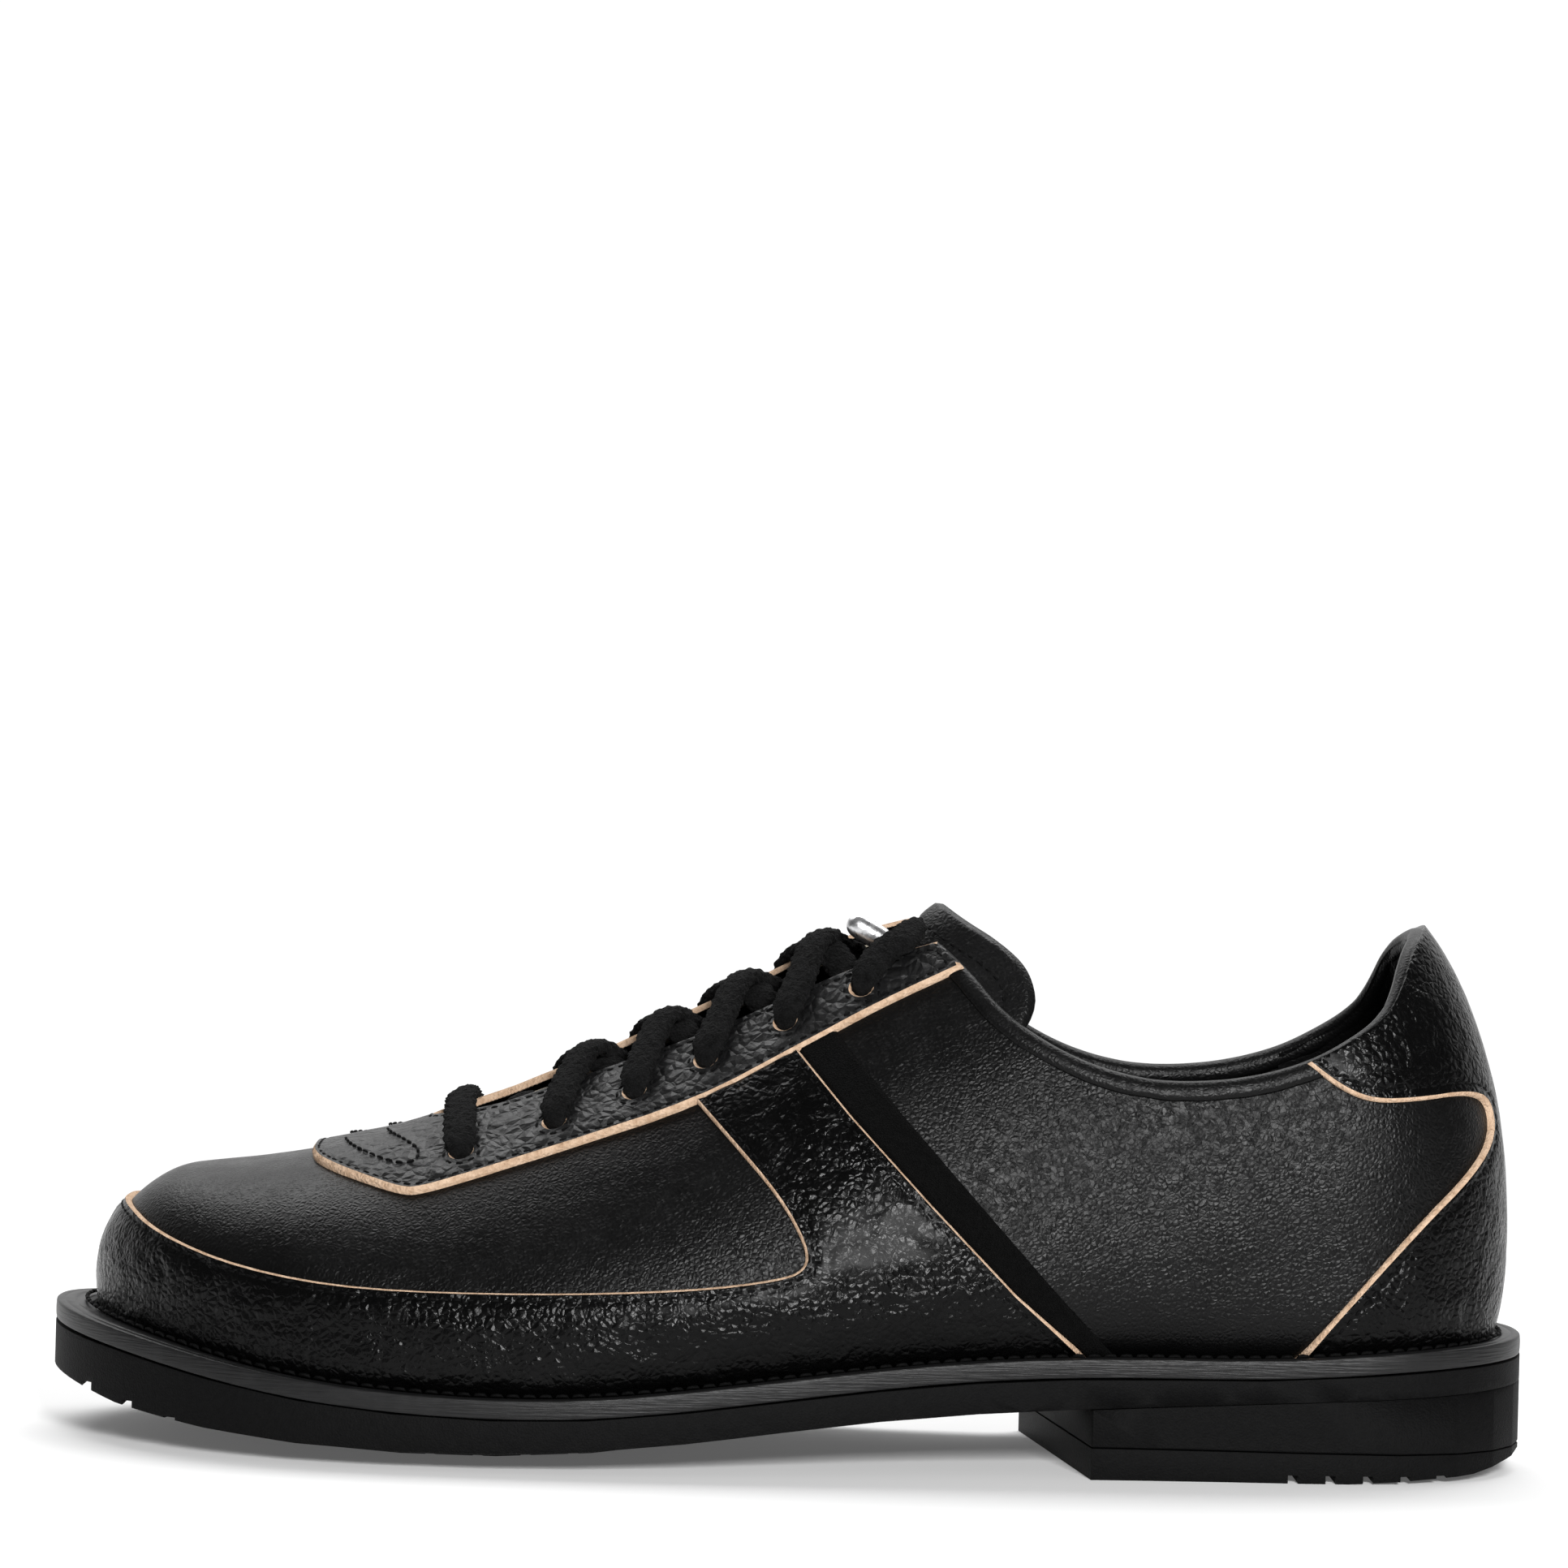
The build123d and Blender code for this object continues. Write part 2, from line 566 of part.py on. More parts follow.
def tongue_section(x, outer, inner):
    """Cross-section of one tongue layer between two depths."""
    width = tongue_far(x) - tongue_near(x)
    ys = [tongue_near(x) + width * i / 10 for i in range(11)]
    edges = ([top_point(x, y, tongue_depth(x, y) + d) for y in ys] for d in (outer, inner))
    top, low = ([(p.Y, p.Z) for p in edge] for edge in edges)
    with BuildSketch(Plane.YZ.offset(x)) as section:
        with BuildLine():
            over, under = Spline(*top), Spline(*low)
            Line(over @ 0, under @ 0)
            Line(over @ 1, under @ 1)
        make_face()
    return section.sketch


with BuildPart() as tongue_outer:
    loft([tongue_section(x, 0, -TONGUE_T) for x in TONGUE_X], ruled=True)
    add(side_prism(TONGUE_END), mode=Mode.INTERSECT)
finish("tongue_outer", tongue_outer)

with BuildPart() as tongue_lining:
    loft([tongue_section(x, -TONGUE_T - GAP, -2 * TONGUE_T) for x in TONGUE_X], ruled=True)
    add(side_prism(TONGUE_END), mode=Mode.INTERSECT)
finish("tongue_lining", tongue_lining)

# ---------------------------------------------------------------- lace
OUT, IN = 3.8, -5.6                                  # lace centre outside and inside the facing


def crossing(k, from_near, start, mid_height):
    """Waypoints from eyelet k on one side to eyelet k+1 on the other."""
    x0, x1 = eyelets[k][0], eyelets[k + 1][0]
    edge_a, edge_b = (slot_near, slot_far) if from_near else (slot_far, slot_near)
    side = 1 if from_near else -1
    xa, xm, xb = (x0 + share * (x1 - x0) for share in (0.22, 0.5, 0.74))
    return [
        off_skin(xa, edge_a(xa) - side * 0.5, start),
        off_skin(xm, (slot_near(xm) + slot_far(xm)) / 2, mid_height),
        off_skin(xb, edge_b(xb) - side * 2.6, IN + 0.3),
        off_skin(x1 - 0.8, edge_b(x1) + side * 3.0, IN),
    ]


def through(x, y, outward):
    """Waypoints of a pass through one eyelet."""
    ends = [off_skin(x, y, IN), off_skin(x, y, OUT)]
    return ends if outward else ends[::-1]


def run_of(first_near):
    """Waypoints of one half of the lace, from the bottom bar to its last eyelet."""
    side = 1 if first_near else 2
    points = through(eyelets[0][0], eyelets[0][side], outward=False)
    for k in range(5):
        from_near = (k % 2 == 0) == first_near
        side = 2 if from_near else 1
        if k == 0:
            points += crossing(k, from_near, IN, IN if from_near else -1.2)
        else:
            points += crossing(k, from_near, OUT, 4.2 if from_near else 0.2)
        points += through(eyelets[k + 1][0], eyelets[k + 1][side], outward=True)
    return points


last_near, last_far = eyelets[5][1], eyelets[5][2]
AGLET_AT, AGLET_AXIS = Vector(17.6, -8.6, 104.4), Vector(-6.8, -1.0, 3.8)
near_tail = [
    off_skin(19.5, last_near + 4.5, OUT), off_skin(23.0, -13.5, OUT), off_skin(24.6, -8.6, 1.4),
    Vector(21.6, -8.2, 102.2), AGLET_AT,
]
far_tail = [off_skin(17.5 + n, last_far + y, OUT) for n, y in ((0, 4), (2, 9), (3, 14.5))]
start_x = eyelets[0][0] - 0.6
bar = [off_skin(start_x, edge(start_x), OUT + 0.3) for edge in (slot_near, slot_far)]
waypoints = far_tail[::-1] + run_of(True)[::-1] + bar + run_of(False) + near_tail
with BuildPart() as lace:
    with BuildLine() as lace_line:
        FilletPolyline(*waypoints, radius=1.75)
    with BuildSketch(Plane(origin=lace_line.line @ 0, z_dir=lace_line.line % 0)):
        Circle(LACE_R)
    sweep(transition=Transition.ROUND)
finish("lace", lace)
print("lace length", round(sum(edge.length for edge in lace_line.line.edges()), 1))

AGLET_PROFILE = [(0.3, 0), (0.3, 2.3), (5.5, 2.3), (6.9, 1.9), (7.7, 1.0), (7.9, 0)]
with BuildPart() as aglets:
    for start, axis in ((AGLET_AT, AGLET_AXIS), (far_tail[2], far_tail[2] - far_tail[1])):
        square = axis.cross(Vector(0.13, 0.9, 0.4))
        with BuildSketch(Plane(origin=start, x_dir=axis, z_dir=square)):
            with BuildLine():
                Polyline(*AGLET_PROFILE, close=True)
            make_face()
        revolve(axis=Axis(start, axis))
finish("aglets", aglets)
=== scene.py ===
"""Looks of a laced leather bowling shoe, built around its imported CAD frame. Shapes are worked out in mm."""
import math

import bmesh
import bpy
import numpy as np
from mathutils import Matrix, Vector, noise


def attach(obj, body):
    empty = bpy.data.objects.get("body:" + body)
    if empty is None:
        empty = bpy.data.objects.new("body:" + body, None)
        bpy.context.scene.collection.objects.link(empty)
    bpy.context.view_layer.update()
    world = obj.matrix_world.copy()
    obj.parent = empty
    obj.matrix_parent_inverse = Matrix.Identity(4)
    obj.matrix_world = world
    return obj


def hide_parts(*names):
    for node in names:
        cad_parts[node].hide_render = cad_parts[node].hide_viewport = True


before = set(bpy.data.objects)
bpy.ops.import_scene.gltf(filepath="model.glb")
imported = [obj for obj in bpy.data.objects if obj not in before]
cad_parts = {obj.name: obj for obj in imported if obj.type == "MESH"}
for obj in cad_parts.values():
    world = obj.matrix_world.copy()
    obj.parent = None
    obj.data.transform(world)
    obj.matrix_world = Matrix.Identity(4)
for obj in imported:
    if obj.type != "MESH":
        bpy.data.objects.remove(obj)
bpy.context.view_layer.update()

MM = 0.001

# ------------ camera
scene = bpy.context.scene
camera = bpy.data.objects.new("camera", bpy.data.cameras.new("camera"))
scene.collection.objects.link(camera)
camera.data.sensor_width = 36.0
camera.data.lens = 111.9
camera.data.clip_end = 20.0
camera.matrix_world = (
    Matrix.Translation((-0.00305, -1.0, 0.1355))
    @ Matrix.Rotation(math.radians(90), 4, "X")
    @ Matrix.Rotation(math.radians(1.5), 4, "Z")
)
scene.camera = camera


# ------------ curves and the shape of the last
def curve(*stations):
    """Natural cubic through (position, value) stations, held level beyond both ends."""
    xs, ys = (np.array(v, float) for v in zip(*stations))
    n, h = len(xs), np.diff(xs)
    a, b = np.eye(n), np.zeros(n)
    for i in range(1, n - 1):
        a[i, i - 1:i + 2] = h[i - 1], 2 * (h[i - 1] + h[i]), h[i]
        b[i] = 6 * ((ys[i + 1] - ys[i]) / h[i] - (ys[i] - ys[i - 1]) / h[i - 1])
    m = np.linalg.solve(a, b)

    def at(x):
        x = np.clip(np.asarray(x, float), xs[0], xs[-1])
        i = np.clip(np.searchsorted(xs, x) - 1, 0, n - 2)
        u, v, k = xs[i + 1] - x, x - xs[i], h[i]
        return (m[i] * u**3 + m[i + 1] * v**3) / (6 * k) + (ys[i] / k - m[i] * k / 6) * u \
            + (ys[i + 1] / k - m[i + 1] * k / 6) * v

    return at


TOE_TIP, HEEL_TIP = -140.8, 145.7
SOLE_END = 150.3
# how far the last's underside lies below the welt's top, and how square its lower half is
FEATHER, FLOOR_POWER = 2.6, 6.0
# distance of the overlays and of the lining from the last's face
OVERLAY, LINING = 1.5, -3.3
# the least that the tips' sections are divided by, and the steps of a search by halving
SLIGHT, HALVINGS = 0.4, 36
half_width = curve(
    (-141, 46), (-100, 47.8), (-70, 48.8), (-45, 48.4), (-20, 45.8),
    (5, 42.4), (30, 39), (60, 36), (90, 34.6), (120, 34), (146, 34),
)
middle = curve(
    (-150, 8.6), (-130, 6.8), (-110, 4.8), (-80, 1.6), (-50, -1.2), (-20, -3.6),
    (10, -4.8), (40, -4.3), (80, -2), (110, -0.6), (150, 0),
)
welt_top = curve(
    (-150, 26.2), (-130, 22.8), (-115, 20.0), (-98, 17.3), (-80, 15.4), (-60, 14.5),
    (-42, 14.7), (-12, 17.4), (20, 21.2), (44, 23.2), (71, 24.0), (100, 24.4),
    (120, 25.8), (150, 27.6),
)
crest = curve(
    (-141, 50.0), (-123, 54.0), (-110, 55.8), (-97.5, 58.0), (-84.7, 60.8),
    (-74.6, 63.8), (-64, 68.2), (-50, 74.2), (-36, 80.6), (-24, 87.0), (-10, 94.9),
    (0, 100.8), (10, 106.4), (18, 109.8), (30, 113.5), (45, 117.5), (65, 120.5),
    (90, 121.5), (146, 121.5),
)
belt = curve((-141, 31.5), (-110, 29), (-60, 27.5), (-20, 30), (20, 35), (60, 40), (100, 45), (146, 49))
crown = curve(
    (-141, 2.7), (-115, 2.4), (-90, 1.95), (-70, 1.6), (-50, 1.47), (-20, 1.45),
    (10, 1.5), (40, 1.65), (80, 1.9), (146, 2.0),
)
lean = curve((-141, 0), (-100, 0.5), (-60, 3), (-20, 6), (20, 6), (60, 3), (100, 0.5), (146, 0))
pinch = curve((-141, 0), (-60, 0.01), (-20, 0.08), (25, 0.16), (70, 0.09), (110, 0.02), (146, 0))
welt_out = curve((-150, 6), (-110, 5), (-60, 4.6), (0, 4), (40, 3.2), (100, 3), (150, 4))
slot_near = curve((-72, 0.5), (-66, -5), (-50, -7.6), (-20, -11.5), (0, -13.2), (14, -13.8), (40, -14))
slot_far = curve((-72, 1.5), (-66, 6), (-50, 6.5), (-20, 7), (0, 7.5), (14, 8), (40, 9))


def closing(distance, reach, power=2.0):
    """0 at an end of the last, rising to 1 at its reach, as a rounded quarter does."""
    t = np.clip(1 - distance / np.maximum(reach, 1.0), 0, 1)
    return (1 - t**power) ** (1 / power)


def section(x, d=0.0):
    """Half width, belt height, top and floor of the last's section at x, offset by d."""
    toe, heel = x - TOE_TIP + d, HEEL_TIP + d - x
    half = (half_width(x) + d) * closing(toe, 60 + d) * closing(heel, 38 + d, 2.2)
    z_mid = belt(x)
    z_top = z_mid + (crest(x) + d - z_mid) * closing(toe, 19 + d, 2.2) * closing(heel, 40 + d)
    floor = welt_top(x) - FEATHER - d
    return half, z_mid, z_top, z_mid - (z_mid - floor) * closing(toe, 6 + d) * closing(heel, 7 + d)


def skin(x, angle, d=0.0):
    """Point of the face at x; the angle runs from the lateral belt (0) over the top to the medial one."""
    half, z_mid, z_top, z_low = section(x, d)
    across, up = -np.cos(angle), np.sin(angle)
    top = up >= 0
    power = np.where(top, 2 / crown(x), 2 / FLOOR_POWER)
    rise = np.abs(up) ** power
    y = half * np.sign(across) * np.abs(across) ** power
    y = middle(x) + np.where(top, y + lean(x) * rise**2, y * (1 - pinch(x) * rise**2))
    z = np.where(top, z_mid + (z_top - z_mid) * rise, z_mid - (z_mid - z_low) * rise)
    return np.stack(np.broadcast_arrays(x, y, z), -1)


def implicit(p):
    """1 on the last's face, more outside it."""
    x, y, z = p[..., 0], p[..., 1], p[..., 2]
    half, z_mid, z_top, z_low = section(x)
    half, top = np.maximum(half, SLIGHT), z >= z_mid
    above = (z - z_mid) / np.maximum(z_top - z_mid, SLIGHT)
    below = (z_mid - z) / np.maximum(z_mid - z_low, SLIGHT)
    rise = np.clip(np.where(top, above, below), 0, 3)
    power = np.where(top, crown(x), FLOOR_POWER)
    side = y - middle(x)
    upper = (side - lean(x) * rise**2) / half
    lower = side / (half * (1 - pinch(x) * np.minimum(rise, 1) ** 2))
    side = np.where(top, upper, lower)
    return (np.abs(side) ** power + rise**power) ** (1 / power)


def normals(p, step=0.15):
    """Outward normals of the face family at points near it."""
    return unit(np.stack([implicit(p + step * e) - implicit(p - step * e) for e in np.eye(3)], -1))


def top_point(x, y, d=0.0):
    """Points of the upper half of the face at plan positions (x, y)."""
    x, y = np.broadcast_arrays(np.asarray(x, float), np.asarray(y, float))
    low, high = np.zeros(x.shape), np.full(x.shape, math.pi)
    for _ in range(HALVINGS):
        mid = (low + high) / 2
        less = skin(x, mid, d)[..., 1] < y
        low, high = np.where(less, mid, low), np.where(less, high, mid)
    return skin(x, low, d)


def side_y(x, z, d=0.0):
    """y of the lateral face's upper half at side-view position (x, z)."""
    low, high = 0.0, math.pi / 2
    for _ in range(HALVINGS):
        mid = (low + high) / 2
        low, high = (mid, high) if skin(np.float64(x), mid, d)[2] < z else (low, mid)
    return float(skin(np.float64(x), low, d)[1])


def lengths(line):
    """Distance along a line at each of its points."""
    return np.concatenate([[0], np.cumsum(np.linalg.norm(np.diff(line, axis=0), axis=1))])


def even(points, step, closed=False):
    """Points resampled at an even step along their line."""
    p = np.asarray(points, float)
    if closed:
        p = np.vstack([p, p[:1]])
    s = lengths(p)
    count = max(int(round(s[-1] / step)), 3)
    t = np.linspace(0, s[-1], count + 1)[: count if closed else count + 1]
    return np.stack([np.interp(t, s, p[:, k]) for k in range(p.shape[1])], -1)


def rounded(points, times=3, closed=False):
    """Corners cut off a polyline, each cut a quarter of its side; open ends stay."""
    p = np.asarray(points, float)
    for _ in range(times):
        a, b = (p, np.roll(p, -1, 0)) if closed else (p[:-1], p[1:])
        q = np.stack([0.75 * a + 0.25 * b, 0.25 * a + 0.75 * b], 1).reshape(-1, p.shape[1])
        p = q if closed else np.vstack([p[:1], q, p[-1:]])
    return p


def unit(v):
    return v / np.maximum(np.linalg.norm(v, axis=-1, keepdims=True), 1e-9)


def smooth_rows(rows, width, closed=False):
    """Rows averaged with their neighbours along the first axis."""
    kernel = np.hanning(2 * width + 3)[1:-1]
    kernel /= kernel.sum()
    pad = len(kernel) // 2
    if closed:
        before, after = rows[-pad:], rows[:pad]
    else:
        before, after = np.repeat(rows[:1], pad, 0), np.repeat(rows[-1:], pad, 0)
    full = np.concatenate([before, rows, after])
    return np.stack([np.convolve(full[:, k], kernel, "valid") for k in range(rows.shape[1])], 1)


# ------------ pattern lines in side view (x, z)
TOPLINE = rounded([
    (22, 109.7), (34.5, 99.2), (40.2, 92.2), (46.5, 87.2), (57.3, 81.5), (68.7, 78.4), (78, 77.8),
    (90, 78.8), (101.1, 81.7), (109.5, 85.8), (118, 91.5), (121.5, 97.2), (124.3, 105.3),
    (128.4, 109.8), (131, 110.2), (136, 109.6), (150, 109.0),
], 2)
FACING_EDGE = np.vstack([[(-97.4, 80), (-97.4, 62.2)], rounded([
    (-97.4, 58.2), (-96.6, 56.7), (-91, 55.0), (-84, 53.3), (-77.5, 51.7), (-73.5, 51.7), (-62, 55.3),
    (-44, 61.4), (-18.2, 70.7), (1.5, 81.8), (18, 91.2), (34.5, 99.2),
], 2)])
GUARD_EDGE = rounded([
    (-160, 53), (-148, 50.6), (-135, 47.3), (-125.6, 42.2), (-107.6, 37.1), (-82.4, 34.1), (-50.4, 34.2),
    (-18.7, 36.0), (-1.3, 38.5), (3.6, 40.6), (3.6, 44.8), (-1.7, 53.8), (-11.6, 64.2), (-18.2, 70.7),
    (-28, 80.5),
], 2)
STRIPE_REAR = [(-7, 91), (1.5, 81.8), (12.2, 69.7), (28.6, 52.8), (45, 36.4), (58.2, 25.3), (72, 12)]
VELVET_REAR = [(3.5, 93), (11.4, 82.9), (22, 70.7), (39, 52.2), (52, 38), (63.3, 26.0), (77, 12)]
FOXING_EDGE = rounded([
    (98, 86), (104.1, 81.1), (110, 77.1), (115.8, 75.1), (124.5, 75.5), (135, 76.8), (140.4, 74.9),
    (141.2, 68.5), (136.2, 61.6), (124.6, 50.8), (108, 31.8), (102.6, 25.2), (92, 12),
], 2)
SEAM = [(-26, 110), (-12, 86), (6, 60), (25, 40), (46, 18), (60, 4)]
# the slot between the facings, in plan view (x, y)
SLOT_AT = np.array([-72, -69, -66, -58, -50, -35, -20, -10, 0, 7, 14, 27, 60], float)
SLOT = rounded(np.vstack([
    np.c_[SLOT_AT, slot_near(SLOT_AT)], np.c_[SLOT_AT, slot_far(SLOT_AT)][::-1],
]), 2, closed=True)
# closed outlines of the pieces that these lines bound
FACING = np.vstack([FACING_EDGE, [(34.5, 170), (-97.3, 170)]])
GUARD = np.vstack([GUARD_EDGE, STRIPE_REAR, [(72, -30), (-160, -30)]])
VELVET = np.vstack([STRIPE_REAR, VELVET_REAR[::-1]])
FOXING = np.vstack([FOXING_EDGE, [(180, 12), (180, 170), (98, 170)]])
BELOW_TOP = np.vstack([TOPLINE, [(190, 109), (190, -40), (-190, -40), (-190, 109.7)]])
BEFORE_SEAM = np.vstack([SEAM, [(60, -40), (-190, -40), (-190, 170), (-26, 170)]])
EYELETS = [(-65.5, 60.4), (-47, 67), (-31, 73.6), (-16.8, 80.4), (-1, 88.6), (14, 96)]
# the linings' seams, and how far all panels reach below the welt's top
HEEL_LINING_AT, VAMP_LINING_TO, TUCK = 103.0, -20.0, 1.5
# pushes a field away from the half of the shoe that it must not cut
ELSEWHERE = 60


def inside(polygon, p, n, axes=(0, 2)):
    """Distance on the face from a polygon seen along one axis; positive inside it."""
    poly = np.asarray(polygon, float)
    q = p[:, axes]
    best = np.full(len(p), 1e9)
    toward = np.zeros((len(p), 2))
    odd = np.zeros(len(p), bool)
    for a, b in zip(poly, np.roll(poly, -1, 0)):
        e = b - a
        t = np.clip(((q - a) @ e) / max(e @ e, 1e-12), 0, 1)
        off = q - (a + t[:, None] * e)
        dist = np.linalg.norm(off, axis=1)
        near = dist < best
        best[near], toward[near] = dist[near], off[near]
        if a[1] != b[1]:
            spans = (a[1] > q[:, 1]) != (b[1] > q[:, 1])
            odd ^= spans & (q[:, 0] < (b[0] - a[0]) * (q[:, 1] - a[1]) / (b[1] - a[1]) + a[0])
    heading = toward / np.maximum(best, 1e-9)[:, None]
    slope = (heading * n[:, axes]).sum(1)
    return np.where(odd, best, -best) / np.sqrt(np.maximum(1 - slope**2, 0.09))


def fields(p, n):
    """Face distance inside every pattern piece, for points p with normals n."""
    return {
        "top": inside(BELOW_TOP, p, n),
        "facing": inside(FACING, p, n),
        "guard": inside(GUARD, p, n),
        "velvet": inside(VELVET, p, n),
        "foxing": inside(FOXING, p, n),
        "seam": inside(BEFORE_SEAM, p, n),
        "slot": -inside(SLOT, p, n, (0, 1)) + np.where(p[:, 2] < belt(p[:, 0]), ELSEWHERE, 0),
        "welt": p[:, 2] - (welt_top(p[:, 0]) - TUCK),
        "y": p[:, 1],
        "back": p[:, 0] - HEEL_LINING_AT,
        "front": VAMP_LINING_TO - p[:, 0],
    }


# ------------ surface patches that are cut to pattern
# lines of fewer crossings are stray bits at a panel's corners
SHORTEST_LINE = 8


class Patch:
    """Points with normals, named values per point, and faces, all on one surface."""

    def __init__(self, p, n, values, faces):
        self.p, self.n, self.v, self.faces = p, n, values, faces

    def cut(self, value, keep_both=False):
        """Cuts the faces along value == 0 and keeps the positive side, or both."""
        value = np.where(np.abs(value) < 1e-6, 1e-6, value)
        positive = value > 0
        out, cross, made = [], {}, []
        for face in self.faces:
            flags = [positive[i] for i in face]
            if all(flags):
                out.append(face)
                continue
            if not any(flags):
                if keep_both:
                    out.append(face)
                continue
            sides = ([], [])
            for k, i in enumerate(face):
                j = face[(k + 1) % len(face)]
                sides[0 if positive[i] else 1].append(i)
                if positive[i] != positive[j]:
                    key = (min(i, j), max(i, j))
                    if key not in cross:
                        cross[key] = len(self.p) + len(made)
                        a, b = key
                        made.append((a, b, value[a] / (value[a] - value[b])))
                    sides[0].append(cross[key])
                    sides[1].append(cross[key])
            for side in sides if keep_both else sides[:1]:
                if len(side) > 2:
                    out.append(tuple(side))
        if made:
            a, b, t = (np.array(c) for c in zip(*made))
            a, b, t = a.astype(int), b.astype(int), t[:, None]
            p = self.p[a] * (1 - t) + self.p[b] * t
            n = self.n[a] * (1 - t) + self.n[b] * t
            n /= np.linalg.norm(n, axis=1, keepdims=True)
            v = {k: np.concatenate([w, w[a] * (1 - t[:, 0]) + w[b] * t[:, 0]]) for k, w in self.v.items()}
            return Patch(np.vstack([self.p, p]), np.vstack([self.n, n]), v, out)
        return Patch(self.p, self.n, self.v, out)

    def compact(self):
        """Without the points that no face uses."""
        used = np.unique(np.concatenate([np.array(f) for f in self.faces]))
        index = np.full(len(self.p), -1)
        index[used] = np.arange(len(used))
        faces = [tuple(int(index[i]) for i in f) for f in self.faces]
        return Patch(self.p[used], self.n[used], {k: v[used] for k, v in self.v.items()}, faces)

    def rim(self):
        """Directed edges that only one face uses."""
        edges = {}
        for face in self.faces:
            for k, i in enumerate(face):
                edges[(i, face[(k + 1) % len(face)])] = True
        return [e for e in edges if (e[1], e[0]) not in edges]

    def lines(self, value, level):
        """(points, normals) along each line where the value crosses a level."""
        side = value > level
        link = {}
        for face in self.faces:
            keys = [
                (min(i, j), max(i, j))
                for k, i in enumerate(face)
                for j in [face[(k + 1) % len(face)]]
                if side[i] != side[j]
            ]
            if len(keys) == 2:
                link.setdefault(keys[0], []).append(keys[1])
                link.setdefault(keys[1], []).append(keys[0])
        chains, seen = [], set()
        for start in sorted(link, key=lambda k: (len(link[k]), k)):
            if start in seen:
                continue
            chain, at = [start], start
            seen.add(start)
            while True:
                onward = [k for k in link[at] if k not in seen]
                if not onward:
                    break
                at = onward[0]
                seen.add(at)
                chain.append(at)
            if len(chain) > SHORTEST_LINE:
                chains.append(chain)
        out = []
        for chain in chains:
            a, b = np.array(chain).T
            t = ((level - value[a]) / (value[b] - value[a]))[:, None]
            out.append((self.p[a] * (1 - t) + self.p[b] * t, self.n[a] * (1 - t) + self.n[b] * t))
        return out


def sampled(function, low, high, step):
    """Parameter values between low and high with an even step along function(t)."""
    t = np.linspace(0, math.pi, 6000)
    t = low + (high - low) * (1 - np.cos(t)) / 2
    s = lengths(function(t))
    return np.interp(np.linspace(0, s[-1], int(s[-1] / step)), s, t)


def grid_faces(rows, cols, closed=False):
    """Quads between rows of points; closed joins each row's end to its start."""
    faces = []
    for i in range(rows - 1):
        for j in range(cols if closed else cols - 1):
            k = (j + 1) % cols
            faces.append((i * cols + j, (i + 1) * cols + j, (i + 1) * cols + k, i * cols + k))
    return faces


# the longest way round a section, the gap before each tip, and the points of a finely drawn section
GIRTH, TIP_GAP, FINE = 270, 0.004, 500


def base_patch(step):
    """The whole face of the last as a net of even step, with a cap at each tip."""
    stations = sampled(
        lambda x: np.stack([x, section(x)[0] * 0.8, section(x)[2] * 0.8], -1),
        TOE_TIP + TIP_GAP, HEEL_TIP - TIP_GAP, step,
    )
    cols = int(GIRTH / step)
    angles = np.linspace(-0.499 * math.pi, 1.499 * math.pi, FINE)
    rows = []
    for x in stations:
        line = skin(np.full(FINE, x), angles)
        s = lengths(line)
        along = np.linspace(0, s[-1], cols)
        rows.append(np.stack([np.interp(along, s, line[:, k]) for k in range(3)], -1))
    p = np.array(rows).reshape(-1, 3)
    n = normals(p)
    last = (len(stations) - 1) * cols
    caps = [tuple(range(cols)), tuple(last + j for j in reversed(range(cols)))]
    return Patch(p, n, fields(p, n), grid_faces(len(stations), cols) + caps)


STEP = 0.85
base = base_patch(STEP)


# ------------ materials
def socket(node, name, value):
    node.inputs[name].default_value = value


class Maker:
    """Builds one node material."""

    def __init__(self, name):
        self.material = bpy.data.materials.new(name)
        self.material.use_nodes = True
        self.tree = self.material.node_tree
        self.bsdf = self.tree.nodes["Principled BSDF"]
        self.coords = self.node("ShaderNodeTexCoord").outputs["Object"]
        self.height = None

    def node(self, kind, **inputs):
        n = self.tree.nodes.new(kind)
        for name, value in inputs.items():
            key = name.replace("_", " ")
            if hasattr(value, "is_output"):
                self.tree.links.new(value, n.inputs[key])
            else:
                n.inputs[key].default_value = value
        return n

    def link(self, a, b):
        self.tree.links.new(a, b)

    def noise(self, scale, detail=3.0, rough=0.55, distort=0.0):
        return self.node(
            "ShaderNodeTexNoise", Vector=self.coords, Scale=scale, Detail=detail, Roughness=rough,
            Distortion=distort,
        ).outputs["Fac"]

    def cells(self, scale, feature="F1", vector=None):
        n = self.node("ShaderNodeTexVoronoi", Vector=vector or self.coords, Scale=scale)
        n.feature = feature
        return n.outputs["Distance"]

    def plus(self, value, amount):
        n = self.tree.nodes.new("ShaderNodeMath")
        n.operation = "ADD"
        self.link(value, n.inputs[0])
        n.inputs[1].default_value = amount
        return n.outputs[0]

    def ramp(self, value, *stops):
        """Blends between two (place, colour) stops."""
        n = self.tree.nodes.new("ShaderNodeValToRGB")
        for element, (place, color) in zip(n.color_ramp.elements, stops):
            element.position = place
            element.color = (*color, 1)
        self.link(value, n.inputs[0])
        return n.outputs[0]

    def bump(self, height, distance):
        """Adds relief on top of what is there; the distance is in metres."""
        n = self.node("ShaderNodeBump", Height=height, Distance=distance, Strength=1.0)
        if self.height is not None:
            self.link(self.height, n.inputs["Normal"])
        self.height = n.outputs[0]
        self.link(self.height, self.bsdf.inputs["Normal"])

    def color(self, output):
        self.link(output, self.bsdf.inputs["Base Color"])

    def rough(self, output):
        self.link(output, self.bsdf.inputs["Roughness"])


def grey(value):
    """A black that is a little cool."""
    return value, value, value * 1.03


